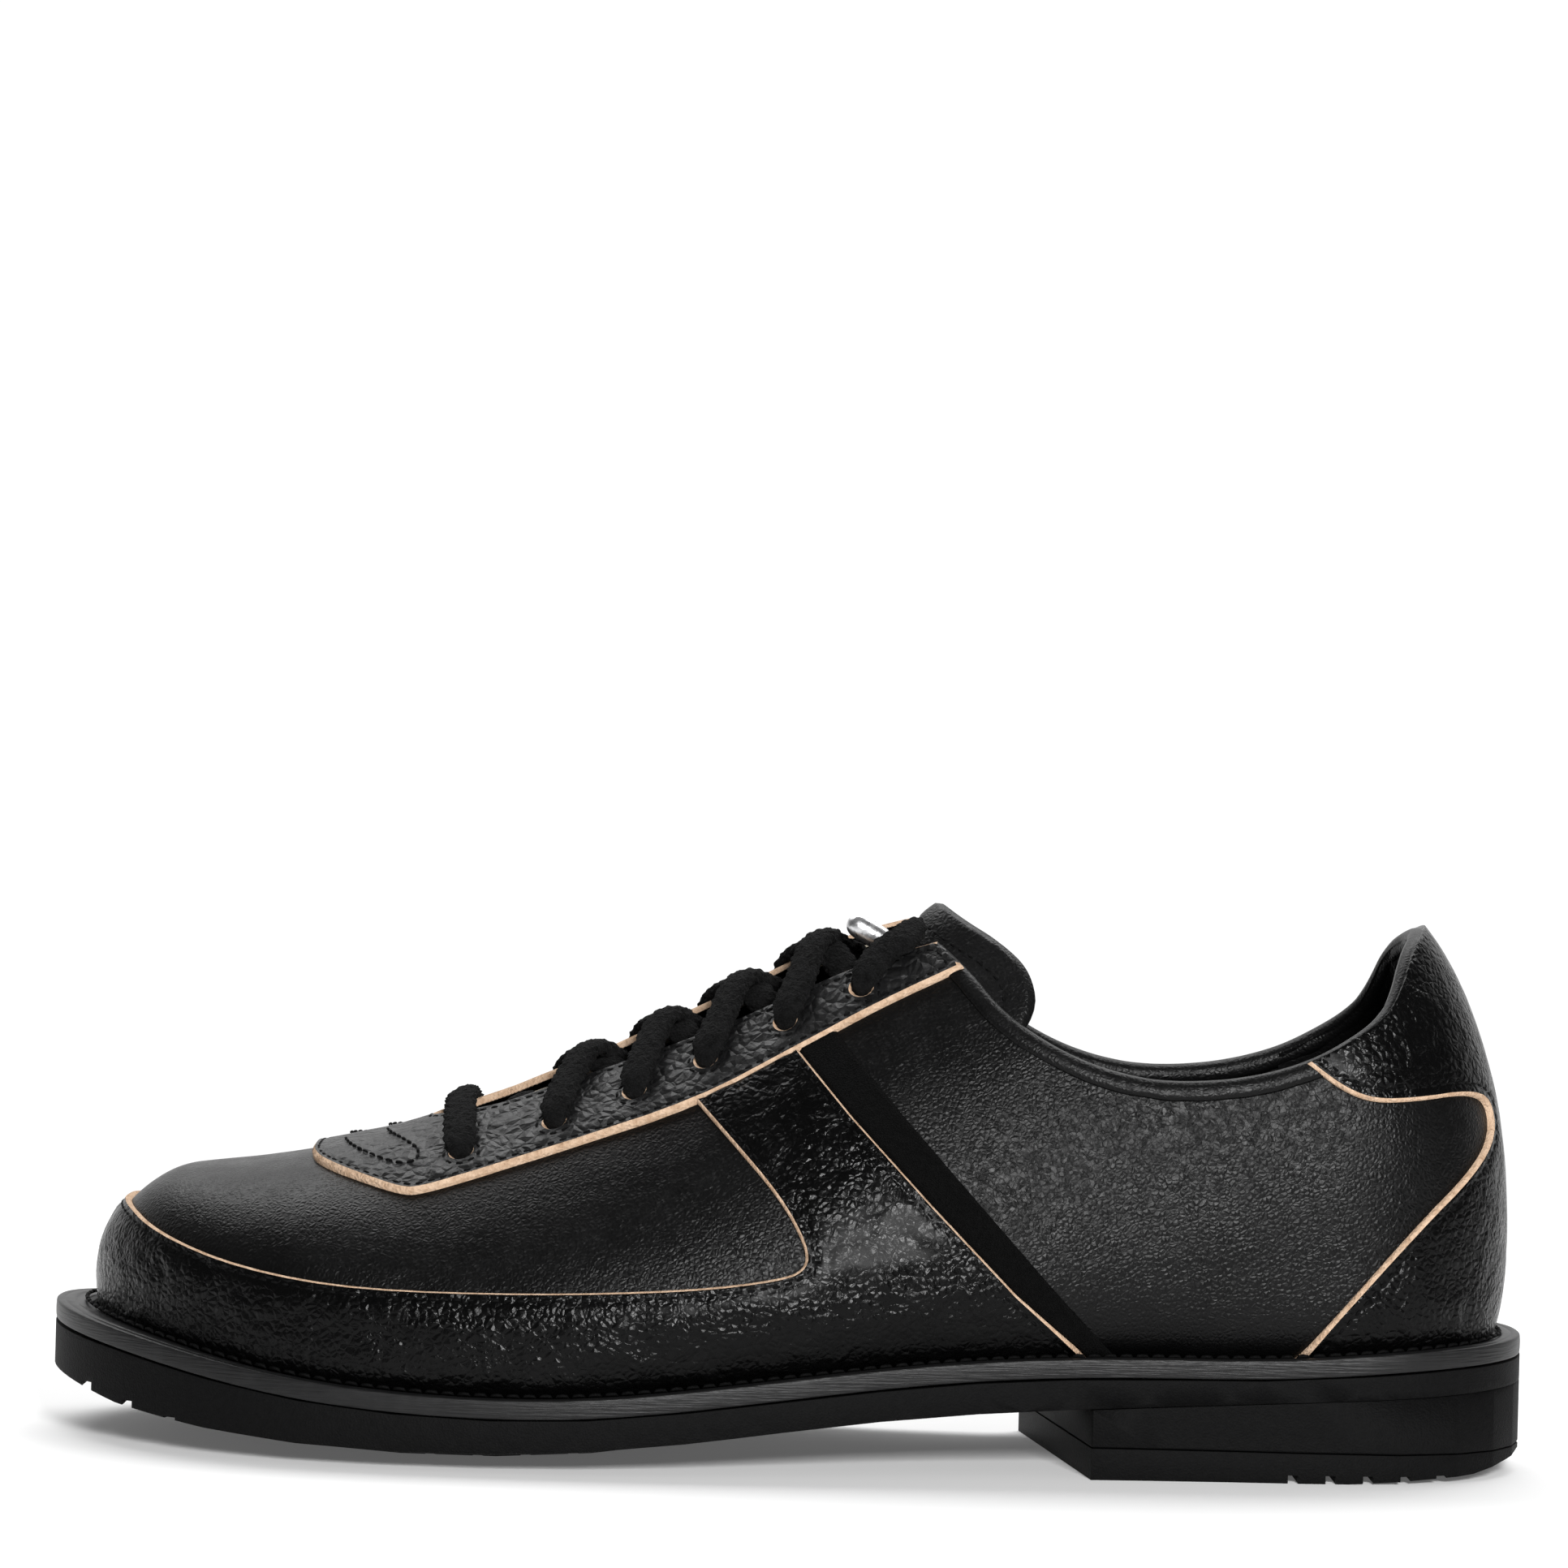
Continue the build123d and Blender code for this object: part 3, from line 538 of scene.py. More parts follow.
# how far the grain is shifted by its warp, in metres
WARP = 0.0016


def leather(name, dark, light, rough, grain, depth, crease=0.0, coat=0.0, shine=0.15):
    """Black leather: cells of grain that a slow noise warps, with wider creases under them."""
    m = Maker(name)
    m.color(m.ramp(m.noise(70, 4), (0.3, grey(dark)), (0.72, grey(light))))
    low, high = rough
    m.rough(m.ramp(m.noise(160, 5, 0.6), (0.3, (low,) * 3), (0.75, (high,) * 3)))
    warp = m.node("ShaderNodeTexNoise", Vector=m.coords, Scale=grain * 0.35, Detail=2.0)
    mixed = m.tree.nodes.new("ShaderNodeVectorMath")
    mixed.operation = "MULTIPLY_ADD"
    m.link(warp.outputs["Color"], mixed.inputs[0])
    mixed.inputs[1].default_value = (WARP,) * 3
    m.link(m.coords, mixed.inputs[2])
    if crease:
        m.bump(m.noise(grain * 0.2, 3, 0.5, 0.9), crease)
    m.bump(m.cells(grain, "DISTANCE_TO_EDGE", mixed.outputs[0]), depth)
    m.bump(m.noise(grain * 1.9, 3, 0.6), depth * 0.22)
    socket(m.bsdf, "Specular IOR Level", shine)
    if coat:
        socket(m.bsdf, "Coat Weight", coat)
        socket(m.bsdf, "Coat Roughness", 0.22)
    return m.material


SMOOTH = leather("smooth_leather", 0.0012, 0.0030, (0.33, 0.44), 1000, 0.00020)
GLOSS = leather("gloss_leather", 0.0008, 0.0014, (0.21, 0.33), 640, 0.00034, 0.0010, 0.03, shine=0.11)
GRAINED = leather("grained_leather", 0.004, 0.009, (0.36, 0.50), 400, 0.0008, 0.0016, shine=0.24)
LINER = leather("lining_leather", 0.0015, 0.003, (0.34, 0.46), 1000, 0.00014)
TONGUE = leather("tongue_leather", 0.003, 0.006, (0.34, 0.46), 950, 0.00018)


def fibres(name, dark, light, scale, depth, rough=0.9, sheen=0.0):
    """A matt material of fine fibres or grains."""
    m = Maker(name)
    m.color(m.ramp(m.noise(scale * 0.5, 5, 0.7), (0.3, dark), (0.75, light)))
    m.bump(m.noise(scale, 5, 0.75), depth)
    m.bump(m.cells(scale * 1.7), depth * 0.6)
    socket(m.bsdf, "Roughness", rough)
    socket(m.bsdf, "Specular IOR Level", 0.06)
    if sheen:
        socket(m.bsdf, "Sheen Weight", sheen)
        socket(m.bsdf, "Sheen Roughness", 0.5)
    return m.material


RAW = fibres("raw_leather_edge", (0.42, 0.27, 0.17), (0.74, 0.55, 0.40), 900, 0.0004, 0.85)
VELVET_MAT = fibres("velvet", (0.0012, 0.0012, 0.0012), (0.004, 0.004, 0.004), 1500, 0.0008, 0.95, 0.01)
COTTON = fibres("lace_cotton", (0.0012, 0.0012, 0.0012), (0.010, 0.010, 0.0103), 1100, 0.0006, 0.92, 0.02)
THREAD = fibres("thread", (0.0015, 0.0015, 0.0015), (0.005, 0.005, 0.0052), 2600, 0.0001, 0.6)
RUBBER = fibres("rubber_sole", (0.0028, 0.0028, 0.0029), (0.0045, 0.0045, 0.0046), 1400, 0.00012, 0.6)
CORK = fibres("cork", (0.20, 0.11, 0.05), (0.52, 0.35, 0.20), 380, 0.0005)
BOARD = fibres("insole_board", (0.26, 0.19, 0.12), (0.40, 0.31, 0.21), 800, 0.0002)
STIFF = fibres("stiffener", (0.34, 0.30, 0.24), (0.52, 0.47, 0.38), 1100, 0.0003)


def welt_edge():
    """Dull rubber with fine lines drawn along the welt."""
    m = Maker("welt")
    m.color(m.ramp(m.noise(240, 5, 0.65), (0.3, (0.006, 0.006, 0.0062)), (0.72, (0.012, 0.012, 0.0123))))
    stretch = m.node("ShaderNodeMapping", Vector=m.coords, Scale=(0.05, 0.05, 1.0)).outputs[0]
    drawn = m.node("ShaderNodeTexNoise", Vector=stretch, Scale=2600.0, Detail=4.0)
    m.bump(drawn.outputs["Fac"], 0.00018)
    socket(m.bsdf, "Roughness", 0.42)
    socket(m.bsdf, "Specular IOR Level", 0.22)
    return m.material


def aglet_metal():
    m = Maker("aglet_metal")
    m.color(m.ramp(m.noise(500, 3), (0.3, (0.62, 0.62, 0.63)), (0.7, (0.78, 0.78, 0.79))))
    socket(m.bsdf, "Metallic", 1.0)
    m.rough(m.ramp(m.noise(900, 4), (0.3, (0.24,) * 3), (0.7, (0.36,) * 3)))
    m.bump(m.noise(700, 3), 0.0001)
    return m.material


def shank_steel():
    m = Maker("steel")
    m.color(m.ramp(m.noise(300, 3), (0.3, (0.45, 0.45, 0.46)), (0.7, (0.60, 0.60, 0.61))))
    socket(m.bsdf, "Metallic", 1.0)
    socket(m.bsdf, "Roughness", 0.38)
    return m.material


WELT = welt_edge()
METAL = aglet_metal()
STEEL = shank_steel()


# ------------ making pieces
def piece(name, verts, faces, materials, body="shoe", nodes=(), index=None):
    """A mesh piece from points in mm, riding on a body and standing for its CAD nodes."""
    mesh = bpy.data.meshes.new(name)
    mesh.from_pydata((np.asarray(verts) * MM).tolist(), [], [list(map(int, f)) for f in faces])
    for material in materials:
        mesh.materials.append(material)
    if index is not None:
        mesh.polygons.foreach_set("material_index", np.asarray(index, np.int32))
    mesh.polygons.foreach_set("use_smooth", np.ones(len(mesh.polygons), bool))
    mesh.validate()
    mesh.update()
    obj = bpy.data.objects.new(name, mesh)
    scene.collection.objects.link(obj)
    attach(obj, body)
    if nodes:
        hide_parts(*nodes)


def wobble(p, scale, seed=0.0):
    """Smooth noise per point, about -1 to 1."""
    return np.array([noise.noise(Vector((x * scale + seed, y * scale, z * scale))) for x, y, z in p])


def creased(amount, scale, seed):
    """Soft unevenness of a panel that fades out towards its rim."""
    def relief(patch, dist):
        soft = np.clip(dist / 3, 0, 1)
        return soft * amount * (wobble(patch.p, scale, seed) + 0.5 * wobble(patch.p, scale * 2.3, seed + 9))
    return relief


# a seam's groove, how near counts as a panel's rim or its folded top, and how far its wall is sunk
GROOVE_DEPTH, GROOVE_WIDTH = 0.28, 0.55
RIM_REACH, FOLD_REACH, SUNK = 0.05, 0.02, 0.15
NO_RIM = 99.0


def cut_out(patch, cuts, edge, bevel):
    """The patch cut to its pattern, with its distance from the raw rim as the value "edge"."""
    for sign, field in cuts:
        patch = patch.cut(sign * patch.v[field])
    patch = patch.compact()
    if not edge:
        patch.v["edge"] = np.full(len(patch.p), NO_RIM)
        return patch
    patch.v["edge"] = np.min([s * patch.v[f] for s, f in edge], axis=0)
    return patch.cut(patch.v["edge"] - bevel, keep_both=True).compact()


def panel(name, cuts, edge, thickness, material, bevel=0.8, tan=True, stitch=(), relief=None,
          under=0.0, body="shoe", source=None, wall=0.72):
    """A pattern piece raised from the face, with its raw rim bevelled. Returns the lines of its seams.

    cuts name the fields that bound it, edge those of its rim, stitch the distances of its seams
    from the rim. The rim shows tan raw leather, but not along the topline, where it is folded in."""
    patch = cut_out(source or base, cuts, edge, bevel)
    dist = patch.v["edge"]
    lift = np.interp(dist, [0, bevel], [wall, 1.0]) * thickness + under
    for place in stitch:
        lift -= GROOVE_DEPTH * np.exp(-(((dist - place) / GROOVE_WIDTH) ** 2))
    if relief:
        lift += relief(patch, dist)
    top = patch.p + patch.n * lift[:, None]

    raw = dist < RIM_REACH
    folded = np.zeros(len(dist), bool)
    if (1, "top") in edge:
        folded = patch.v["top"] - dist < FOLD_REACH
    faces = list(patch.faces)
    index = [
        int(tan and np.mean([dist[i] for i in f]) < bevel and not all(folded[i] for i in f)) for f in faces
    ]
    rim = patch.rim()
    ring = sorted({i for e in rim for i in e})
    low = {i: len(top) + k for k, i in enumerate(ring)}
    low_points = patch.p[ring] + patch.n[ring] * (under - SUNK)
    for a, b in rim:
        faces.append((b, a, low[a], low[b]))
        index.append(int(tan and raw[a] and raw[b] and not (folded[a] and folded[b])))
    verts = np.vstack([top, low_points])
    piece(name, verts, faces, [material, RAW], body, [name], index)

    raised = Patch(top, patch.n, patch.v, patch.faces)
    return [line for place in stitch for line in raised.lines(dist, place)]


# rings of one stitch: (place along it, share of its radius, lift)
STITCH_RINGS = (
    (-0.5, 0.25, -0.25), (-0.36, 0.9, 0.05), (0, 1.0, 0.12), (0.36, 0.9, 0.05), (0.5, 0.25, -0.25),
)
STITCH_SIDES = 6
STITCH_SINK, STITCH_SLANT, STITCH_FLATTEN = 0.08, 0.1, 1.15


def stitch_points(a, b, normal, length, radius):
    """Rings of points round one stitch that lies between a and b."""
    t = unit(b - a)
    up = unit(normal - t * (normal @ t))
    side = np.cross(t, up)
    mid = (a + b) / 2 + side * STITCH_SLANT
    points = []
    for place, scale, lift in STITCH_RINGS:
        centre = mid + t * place * length + up * (lift - STITCH_SINK)
        for j in range(STITCH_SIDES):
            w = 2 * math.pi * j / STITCH_SIDES
            off = math.cos(w) * side * STITCH_FLATTEN + math.sin(w) * up
            points.append(centre + radius * scale * off)
    return points


def stitch_faces(start):
    n, last = STITCH_SIDES, start + (len(STITCH_RINGS) - 1) * STITCH_SIDES
    faces = []
    for low in range(start, last, n):
        for j in range(n):
            q = (j + 1) % n
            faces.append((low + j, low + q, low + n + q, low + n + j))
    faces.append(tuple(start + j for j in reversed(range(n))))
    faces.append(tuple(last + j for j in range(n)))
    return faces


def sew(name, lines, pitch=2.5, length=1.75, radius=0.27, body="shoe"):
    """Real stitches along lines of (points, normals)."""
    verts, faces = [], []
    for points, normal_rows in lines:
        joined = even(np.hstack([points, normal_rows]), pitch)
        p, n = joined[:, :3], joined[:, 3:]
        for a, b, normal in zip(p[:-1], p[1:], n):
            if 0.5 * pitch <= np.linalg.norm(b - a) <= 1.8 * pitch:
                faces += stitch_faces(len(verts))
                verts += stitch_points(a, b, normal, length, radius)
    piece(name, verts, faces, [THREAD], body)


def tube(path, outline_points, frames, closed=False):
    """Closed outlines swept along a path; an outline's point is (across, up) in the path's frames."""
    count, ring = len(path), outline_points.shape[1]
    across, up = frames
    verts = (path[:, None, :] + outline_points[..., 0:1] * across[:, None, :]
             + outline_points[..., 1:2] * up[:, None, :]).reshape(-1, 3)
    faces = grid_faces(count, ring, closed=True)
    last = (count - 1) * ring
    if closed:
        faces += [(last + j, j, (j + 1) % ring, last + (j + 1) % ring) for j in range(ring)]
    else:
        faces += [tuple(range(ring)), tuple(last + j for j in reversed(range(ring)))]
    return verts, faces


# ------------ leather panels of the upper
BASE_CUTS = [(1, "top"), (1, "slot"), (1, "welt")]


def smooth_base():
    """Vamp and quarters, the smooth leather that all overlays lie on."""
    panel("vamp", BASE_CUTS + [(1, "seam")], [], 0.0, SMOOTH,
          relief=creased(0.10, 0.05, 3.0))
    for side, sign, seed in (("lateral", -1, 5.0), ("medial", 1, 8.0)):
        panel("quarter_" + side, BASE_CUTS + [(-1, "seam"), (sign, "y")], [], 0.0, SMOOTH,
              relief=creased(0.30, 0.032, seed))


def glossy_overlays():
    seams = panel(
        "mudguard", [(1, "guard"), (-1, "facing"), (1, "welt")], [(1, "guard")], 1.35, GLOSS,
        bevel=0.45, stitch=(1.7,), relief=creased(0.16, 0.16, 1.0), wall=0.6)
    sew("mudguard_thread", seams)
    seams = panel(
        "heel_foxing", [(1, "foxing"), (1, "welt"), (1, "top")], [(1, "foxing")], 1.4, GLOSS,
        bevel=0.7, stitch=(2.4,), relief=creased(0.12, 0.10, 2.0))
    sew("foxing_thread", seams)


def velvet_strips():
    for side, sign in (("lateral", -1), ("medial", 1)):
        panel("velvet_strip_" + side, [(1, "velvet"), (-1, "facing"), (1, "welt"), (sign, "y")],
              [(1, "velvet")], 1.0, VELVET_MAT, tan=False, wall=0.3)


def eyelet_holes():
    """(x, near y, far y) of each pair; the far one is mirrored about the slot's middle."""
    holes = []
    for x, z in EYELETS:
        y = side_y(x, z, OVERLAY)
        holes.append((x, y, float(slot_far(x) + slot_near(x)) - y))
    return holes


HOLES = eyelet_holes()
HOLE_RADIUS, LOWEST_HOLE = 1.9, 45
base.v["eyelets"] = np.min([
    np.linalg.norm(base.p - top_point(x, y)[None, :], axis=1) - HOLE_RADIUS
    for x, near, far in HOLES for y in (near, far)
], axis=0) + np.where(base.p[:, 2] < LOWEST_HOLE, ELSEWHERE, 0)


def eyelet_facing():
    bounds = [(1, "facing"), (1, "slot"), (1, "top"), (1, "eyelets")]
    seams = panel("facing", bounds, bounds, 1.6, GRAINED, bevel=0.75, stitch=(1.9,),
                  relief=creased(0.2, 0.13, 6.0), under=0.05, wall=0.55)
    sew("facing_thread", seams)


# decorative rows on the front of the facing, mirrored about the slot
FRONT_ROW = rounded([
    (-91.4, 62.5), (-91.6, 60.9), (-91.2, 59.2), (-84.3, 57.2), (-79, 56.0), (-74.8, 56.0), (-73.8, 58.4),
    (-77.6, 59.9), (-82.6, 61.2), (-84.8, 62.3), (-83.9, 64.5),
], 2)
FRONT_ROW_LIFT, BELOW_CREST = 1.95, 0.25


def on_side(line, far=False):
    """A side-view line laid on the upper face of one side."""
    out = []
    for x, z in even(line, 0.5):
        if z < section(np.float64(x))[2] - BELOW_CREST:
            y = side_y(x, z)
            y = float(slot_near(x) + slot_far(x)) - y if far else y
            out.append(top_point(x, y))
    p = np.array(out)
    n = normals(p)
    return p + n * FRONT_ROW_LIFT, n


# ------------ linings, seen from inside
LINED = [(1, "top", 0), (1, "slot", 0), (1, "welt", 0)]
REAR = [(-1, "front", 0), (-1, "back", 0)]


def lining(name, cuts, depth):
    """A single sheet facing into the shoe; a cut is (sign, field, shift)."""
    patch = base
    for sign, field, shift in cuts:
        patch = patch.cut(sign * patch.v[field] + shift)
    patch = patch.compact()
    p = patch.p + patch.n * (depth + lining_folds(patch))[:, None]
    piece(name, p, [f[::-1] for f in patch.faces], [LINER], nodes=[name])


def lining_folds(patch):
    """Upright folds of the loose lining, deepest at the heel."""
    p = patch.p
    around = np.where(p[:, 0] > 100, p[:, 1], p[:, 0])
    fold = np.sin(around / 3.1 + 3 * wobble(p, 0.03, 4)) ** 5 * np.clip((p[:, 0] - 40) / 60, 0.1, 1)
    return 0.22 * fold * (0.5 + 0.5 * wobble(p, 0.06, 7)) + 0.12 * wobble(p, 0.08, 2)


def linings():
    lining("vamp_lining", LINED + [(1, "front", 0)], LINING)
    for side, sign in (("lateral", -1), ("medial", 1)):
        lining("quarter_lining_" + side, LINED + REAR + [(sign, "y", 0)], LINING)
    lining("heel_lining", LINED + [(1, "back", 0.6)], LINING - 0.35)


# section of the rolled binding: (outward, up) from the topline
ROLL = np.array([
    (0.05, -3.5), (0.55, -3.25), (0.85, -2.3), (0.8, -0.9), (0.35, 0.15), (-0.55, 0.75), (-1.6, 0.9),
    (-2.7, 0.65), (-3.5, -0.1), (-3.85, -1.2), (-3.85, -2.3), (-3.45, -3.2), (-1.7, -2.6),
])


def topline_binding():
    rim_patch = base.cut(base.v["slot"])
    p, n = max(rim_patch.lines(rim_patch.v["top"], 0.0), key=lambda line: len(line[0]))
    joined = even(np.hstack([p, n]), 0.9)
    p, n = smooth_rows(joined[:, :3], 2), unit(joined[:, 3:])
    up = unit(np.cross(n, unit(np.gradient(p, axis=0))))
    up *= np.sign(up[:, 2:3] + up[:, 0:1] * 0.3)
    puff = 1 + 0.06 * wobble(p, 0.22, 3)[:, None, None]
    verts, faces = tube(p, ROLL[None] * puff, (n, up))
    piece("topline_binding", verts, faces, [LINER], nodes=["topline_binding"])


# ------------ tongue
TONGUE_TOE, TONGUE_TOP = -83.8, 48.9
TONGUE_WIDTH = 60
tongue_side = curve(
    (-90, -10.0), (-40, -10.0), (-10, -10.0), (4, -10.2), (12, -10.2), (17, -9.5), (22, -7.6), (30, -4.9),
    (36, -4.4), (50, -4.4),
)
tongue_lift = curve(
    (-90, 0), (-40, 0), (-10, 0), (4, 0), (15, 0), (20, 1.1), (27, 4.0), (34, 4.4), (50, 4.4)
)
lift_reach = curve((-90, 10), (27, 10.5), (36, 14), (50, 22))
tongue_near = curve((-84, -14), (-70, -20), (-20, -26), (20, -29), (50, -31))
tongue_far = curve((-84, 12), (-70, 16), (-20, 19), (20, 22), (50, 24))
TONGUE_END = np.vstack([rounded([
    (27, 114.4), (28.6, 113.4), (35, 108.7), (41.7, 104.8), (46.6, 100.4), (48.5, 95.4), (48.2, 91.5),
    (46.2, 87.5),
], 2), [(38, 60), (-90, 20), (-90, 160), (20, 160)]])


def tongue_patch():
    """The tongue's outer face, which lies under the slot and rises out of it at the throat."""
    stations = np.arange(TONGUE_TOE, TONGUE_TOP, STEP)
    share = np.linspace(0, 1, int(TONGUE_WIDTH / STEP))
    x = np.repeat(stations[:, None], len(share), 1)
    y = tongue_near(x) + (tongue_far(x) - tongue_near(x)) * share[None]
    off = (y - (slot_near(x) + slot_far(x)) / 2) / lift_reach(x)
    depth = tongue_side(x) + tongue_lift(x) * np.clip(1 - off**2, 0, 1) ** 1.5
    p = top_point(x, y, depth)
    n = unit(np.cross(np.gradient(p, axis=0), np.gradient(p, axis=1)))
    n *= np.sign(n[..., 2:3])
    p, n = p.reshape(-1, 3), n.reshape(-1, 3)
    sides = np.minimum(y - tongue_near(x), tongue_far(x) - y).ravel() * 1.15
    values = {"end": inside(TONGUE_END, p, n), "sides": sides}
    return Patch(p, n, values, grid_faces(len(stations), len(share)))


def tongue_lining(patch):
    low = patch.cut(patch.v["end"]).compact()
    dist = np.minimum(low.v["end"], low.v["sides"])
    drop = -1.45 - 1.2 * np.clip(dist / 1.3, 0.2, 1) - 0.05 * wobble(low.p, 0.2, 6)
    inner = low.p + low.n * drop[:, None]
    edges = low.rim()
    ring = sorted({i for e in edges for i in e})
    upper = {i: len(inner) + k for k, i in enumerate(ring)}
    faces = [f[::-1] for f in low.faces] + [(a, b, upper[b], upper[a]) for a, b in edges]
    verts = np.vstack([inner, low.p[ring] - low.n[ring] * 1.3])
    piece("tongue_lining", verts, faces, [LINER], "tongue", ["tongue_lining"])


def tongue():
    patch = tongue_patch()
    seams = panel(
        "tongue_outer", [(1, "end")], [(1, "end"), (1, "sides")], 1.55, TONGUE,
        bevel=1.3, stitch=(6.2,), tan=False, under=-1.35, wall=0.35, source=patch, body="tongue",
        relief=creased(0.18, 0.12, 12.0))
    sew("tongue_thread", seams, body="tongue")
    tongue_lining(patch)


# ------------ lace
# height of the cord's middle over the face, outside the facing and under it
OUT, IN = 3.35, -5.6
AGLET_AT, AGLET_AXIS = np.array((17.6, -8.6, 104.4)), np.array((-6.8, -1.0, 3.8))
LACE_STEP = 0.4
LACE_SIDES = 28
FLAT_WIDE, FLAT_HIGH = 3.05, 1.6
ROUND_WIDE, ROUND_HIGH = 2.0, 1.85
PLAIT_PITCH, PLAIT_RELIEF = 2.1, 0.20


def off_skin(x, y, d):
    p = top_point(x, y)
    return p + normals(p) * d


def crossing(k, from_near, start, mid_height):
    """Points of the strand from eyelet pair k to the other side of the next pair."""
    x0, x1 = HOLES[k][0], HOLES[k + 1][0]
    edge_a, edge_b = (slot_near, slot_far) if from_near else (slot_far, slot_near)
    side = 1 if from_near else -1
    xa, xm, xb = (x0 + share * (x1 - x0) for share in (0.22, 0.5, 0.74))
    return [
        off_skin(xa, edge_a(xa) - side * 0.5, start),
        off_skin(xm, (slot_near(xm) + slot_far(xm)) / 2, mid_height),
        off_skin(xb, edge_b(xb) - side * 2.6, IN + 0.3),
        off_skin(x1 - 0.8, edge_b(x1) + side * 3.0, IN),
    ]


def through(hole, far, outward):
    """The two points of a strand that goes through one eyelet."""
    y = hole[2] if far else hole[1]
    ends = [off_skin(hole[0], y, IN), off_skin(hole[0], y, OUT)]
    return ends if outward else ends[::-1]


def run_of(first_near):
    """One half of the lace, zigzagging from the front eyelets to the last ones."""
    points = through(HOLES[0], not first_near, False)
    for k in range(len(HOLES) - 1):
        from_near = (k % 2 == 0) == first_near
        if k == 0:
            points += crossing(k, from_near, IN, IN if from_near else -1.2)
        else:
            points += crossing(k, from_near, OUT, 4.2 if from_near else 0.2)
        points += through(HOLES[k + 1], from_near, True)
    return points


def lace_route():
    """Route of the lace, from the far tail over the front bar to the near tail."""
    _, last_near, last_far = HOLES[-1]
    near_tail = [
        off_skin(19.5, last_near + 4.5, OUT), off_skin(23.0, -13.5, OUT), off_skin(24.6, -8.6, 1.4),
        np.array((21.6, -8.2, 102.2)), AGLET_AT,
    ]
    far_tail = [off_skin(17.5 + n, last_far + y, OUT) for n, y in ((0, 4), (2, 9), (3, 14.5))]
    bar_x = HOLES[0][0] - 0.6
    bar = [off_skin(bar_x, edge(bar_x), OUT + 0.3) for edge in (slot_near, slot_far)]
    return np.array(far_tail[::-1] + run_of(True)[::-1] + bar + run_of(False) + near_tail)


def signed_power(v, power):
    return np.sign(v) * np.abs(v) ** power


def lace(route):
    """A flat plaited cord, squeezed round where it goes through the eyelets."""
    p = smooth_rows(even(rounded(route, 3), LACE_STEP), 2)
    t = unit(np.gradient(p, axis=0))
    out = normals(p)
    upright = np.abs((out * t).sum(1))
    up = smooth_rows(out - t * (out * t).sum(1, keepdims=True), 6)
    up = unit(up - t * (up * t).sum(1, keepdims=True))
    squeeze = smooth_rows(np.clip((upright - 0.45) / 0.4, 0, 1)[:, None], 5)[:, 0]
    run = np.arange(len(p)) * np.linalg.norm(p[1] - p[0])
    ends = np.clip(np.minimum(run, run[-1] - run) / 3, 0, 1)
    wide = (FLAT_WIDE * (1 - squeeze) + ROUND_WIDE * squeeze) * (0.65 + 0.35 * ends)
    high = FLAT_HIGH * (1 - squeeze) + ROUND_HIGH * squeeze
    turn = np.linspace(0, 2 * math.pi, LACE_SIDES, endpoint=False)
    phase = math.pi * run[:, None] / PLAIT_PITCH
    plait = np.abs(np.sin(phase + 4 * turn[None])) * np.abs(np.sin(phase - 4 * turn[None]))
    grow = 1 + PLAIT_RELIEF * plait
    oval = np.stack([
        wide[:, None] * signed_power(np.cos(turn), 0.9) * grow,
        high[:, None] * signed_power(np.sin(turn), 0.8) * grow,
    ], -1)
    verts, faces = tube(p, oval, (np.cross(t, up), up))
    fuzz = 0.20 * wobble(verts, 0.9, 5) + 0.16 * wobble(verts, 2.4, 8)
    verts = verts + unit(verts - np.repeat(p, LACE_SIDES, 0)) * fuzz[:, None]
    piece("lace", verts, faces, [COTTON], nodes=["lace"])


# (along, radius) of a crimped tip
AGLET_PROFILE = rounded([
    (-0.3, 1.9), (-0.3, 2.35), (0.1, 2.5), (5.2, 2.55), (6.4, 2.3), (7.3, 1.7), (7.85, 0.8), (8.0, 0.02),
], 2)
AGLET_SIDES = 36


def aglets(route):
    """Both metal tips as one piece; the far one carries on in the line of its tail."""
    far_end, far_before = route[0], route[1]
    spin = np.linspace(0, 2 * math.pi, AGLET_SIDES, endpoint=False)
    verts, faces = [], []
    for start, axis in ((AGLET_AT, AGLET_AXIS), (far_end, far_end - far_before)):
        axis = unit(axis)
        a = unit(np.cross(axis, (0.0, 0.0, 1.0)))
        b = np.cross(axis, a)
        first = len(verts)
        for along, radius in AGLET_PROFILE:
            verts += [start + axis * along + radius * (math.cos(w) * a + math.sin(w) * b) for w in spin]
        rows = grid_faces(len(AGLET_PROFILE), AGLET_SIDES, closed=True)
        faces += [tuple(first + i for i in f) for f in rows]
        faces.append(tuple(first + j for j in range(AGLET_SIDES)))
    piece("aglets", verts, faces, [METAL], nodes=["aglets"])


# ------------ welt and sole
def sole_half(x, side):
    """Half width of the sole; the waist is drawn in less on the lateral side (-1)."""
    waist = pinch(x) * (0.55 if side < 0 else 1)
    ends = closing(x + SOLE_END, 64) * closing(SOLE_END - x, 42, 2.2)
    return (half_width(x) * (1 - waist) + welt_out(x)) * ends


def outline(step):
    """Points round the sole's edge in plan view."""
    t = (1 - np.cos(np.linspace(0, math.pi, 1500))) / 2
    x = -SOLE_END + 2 * SOLE_END * t
    near = np.stack([x, middle(x) - sole_half(x, -1)], -1)
    far = np.stack([x, middle(x) + sole_half(x, 1)], -1)[::-1]
    return even(np.vstack([near, far[1:-1]]), step, closed=True)


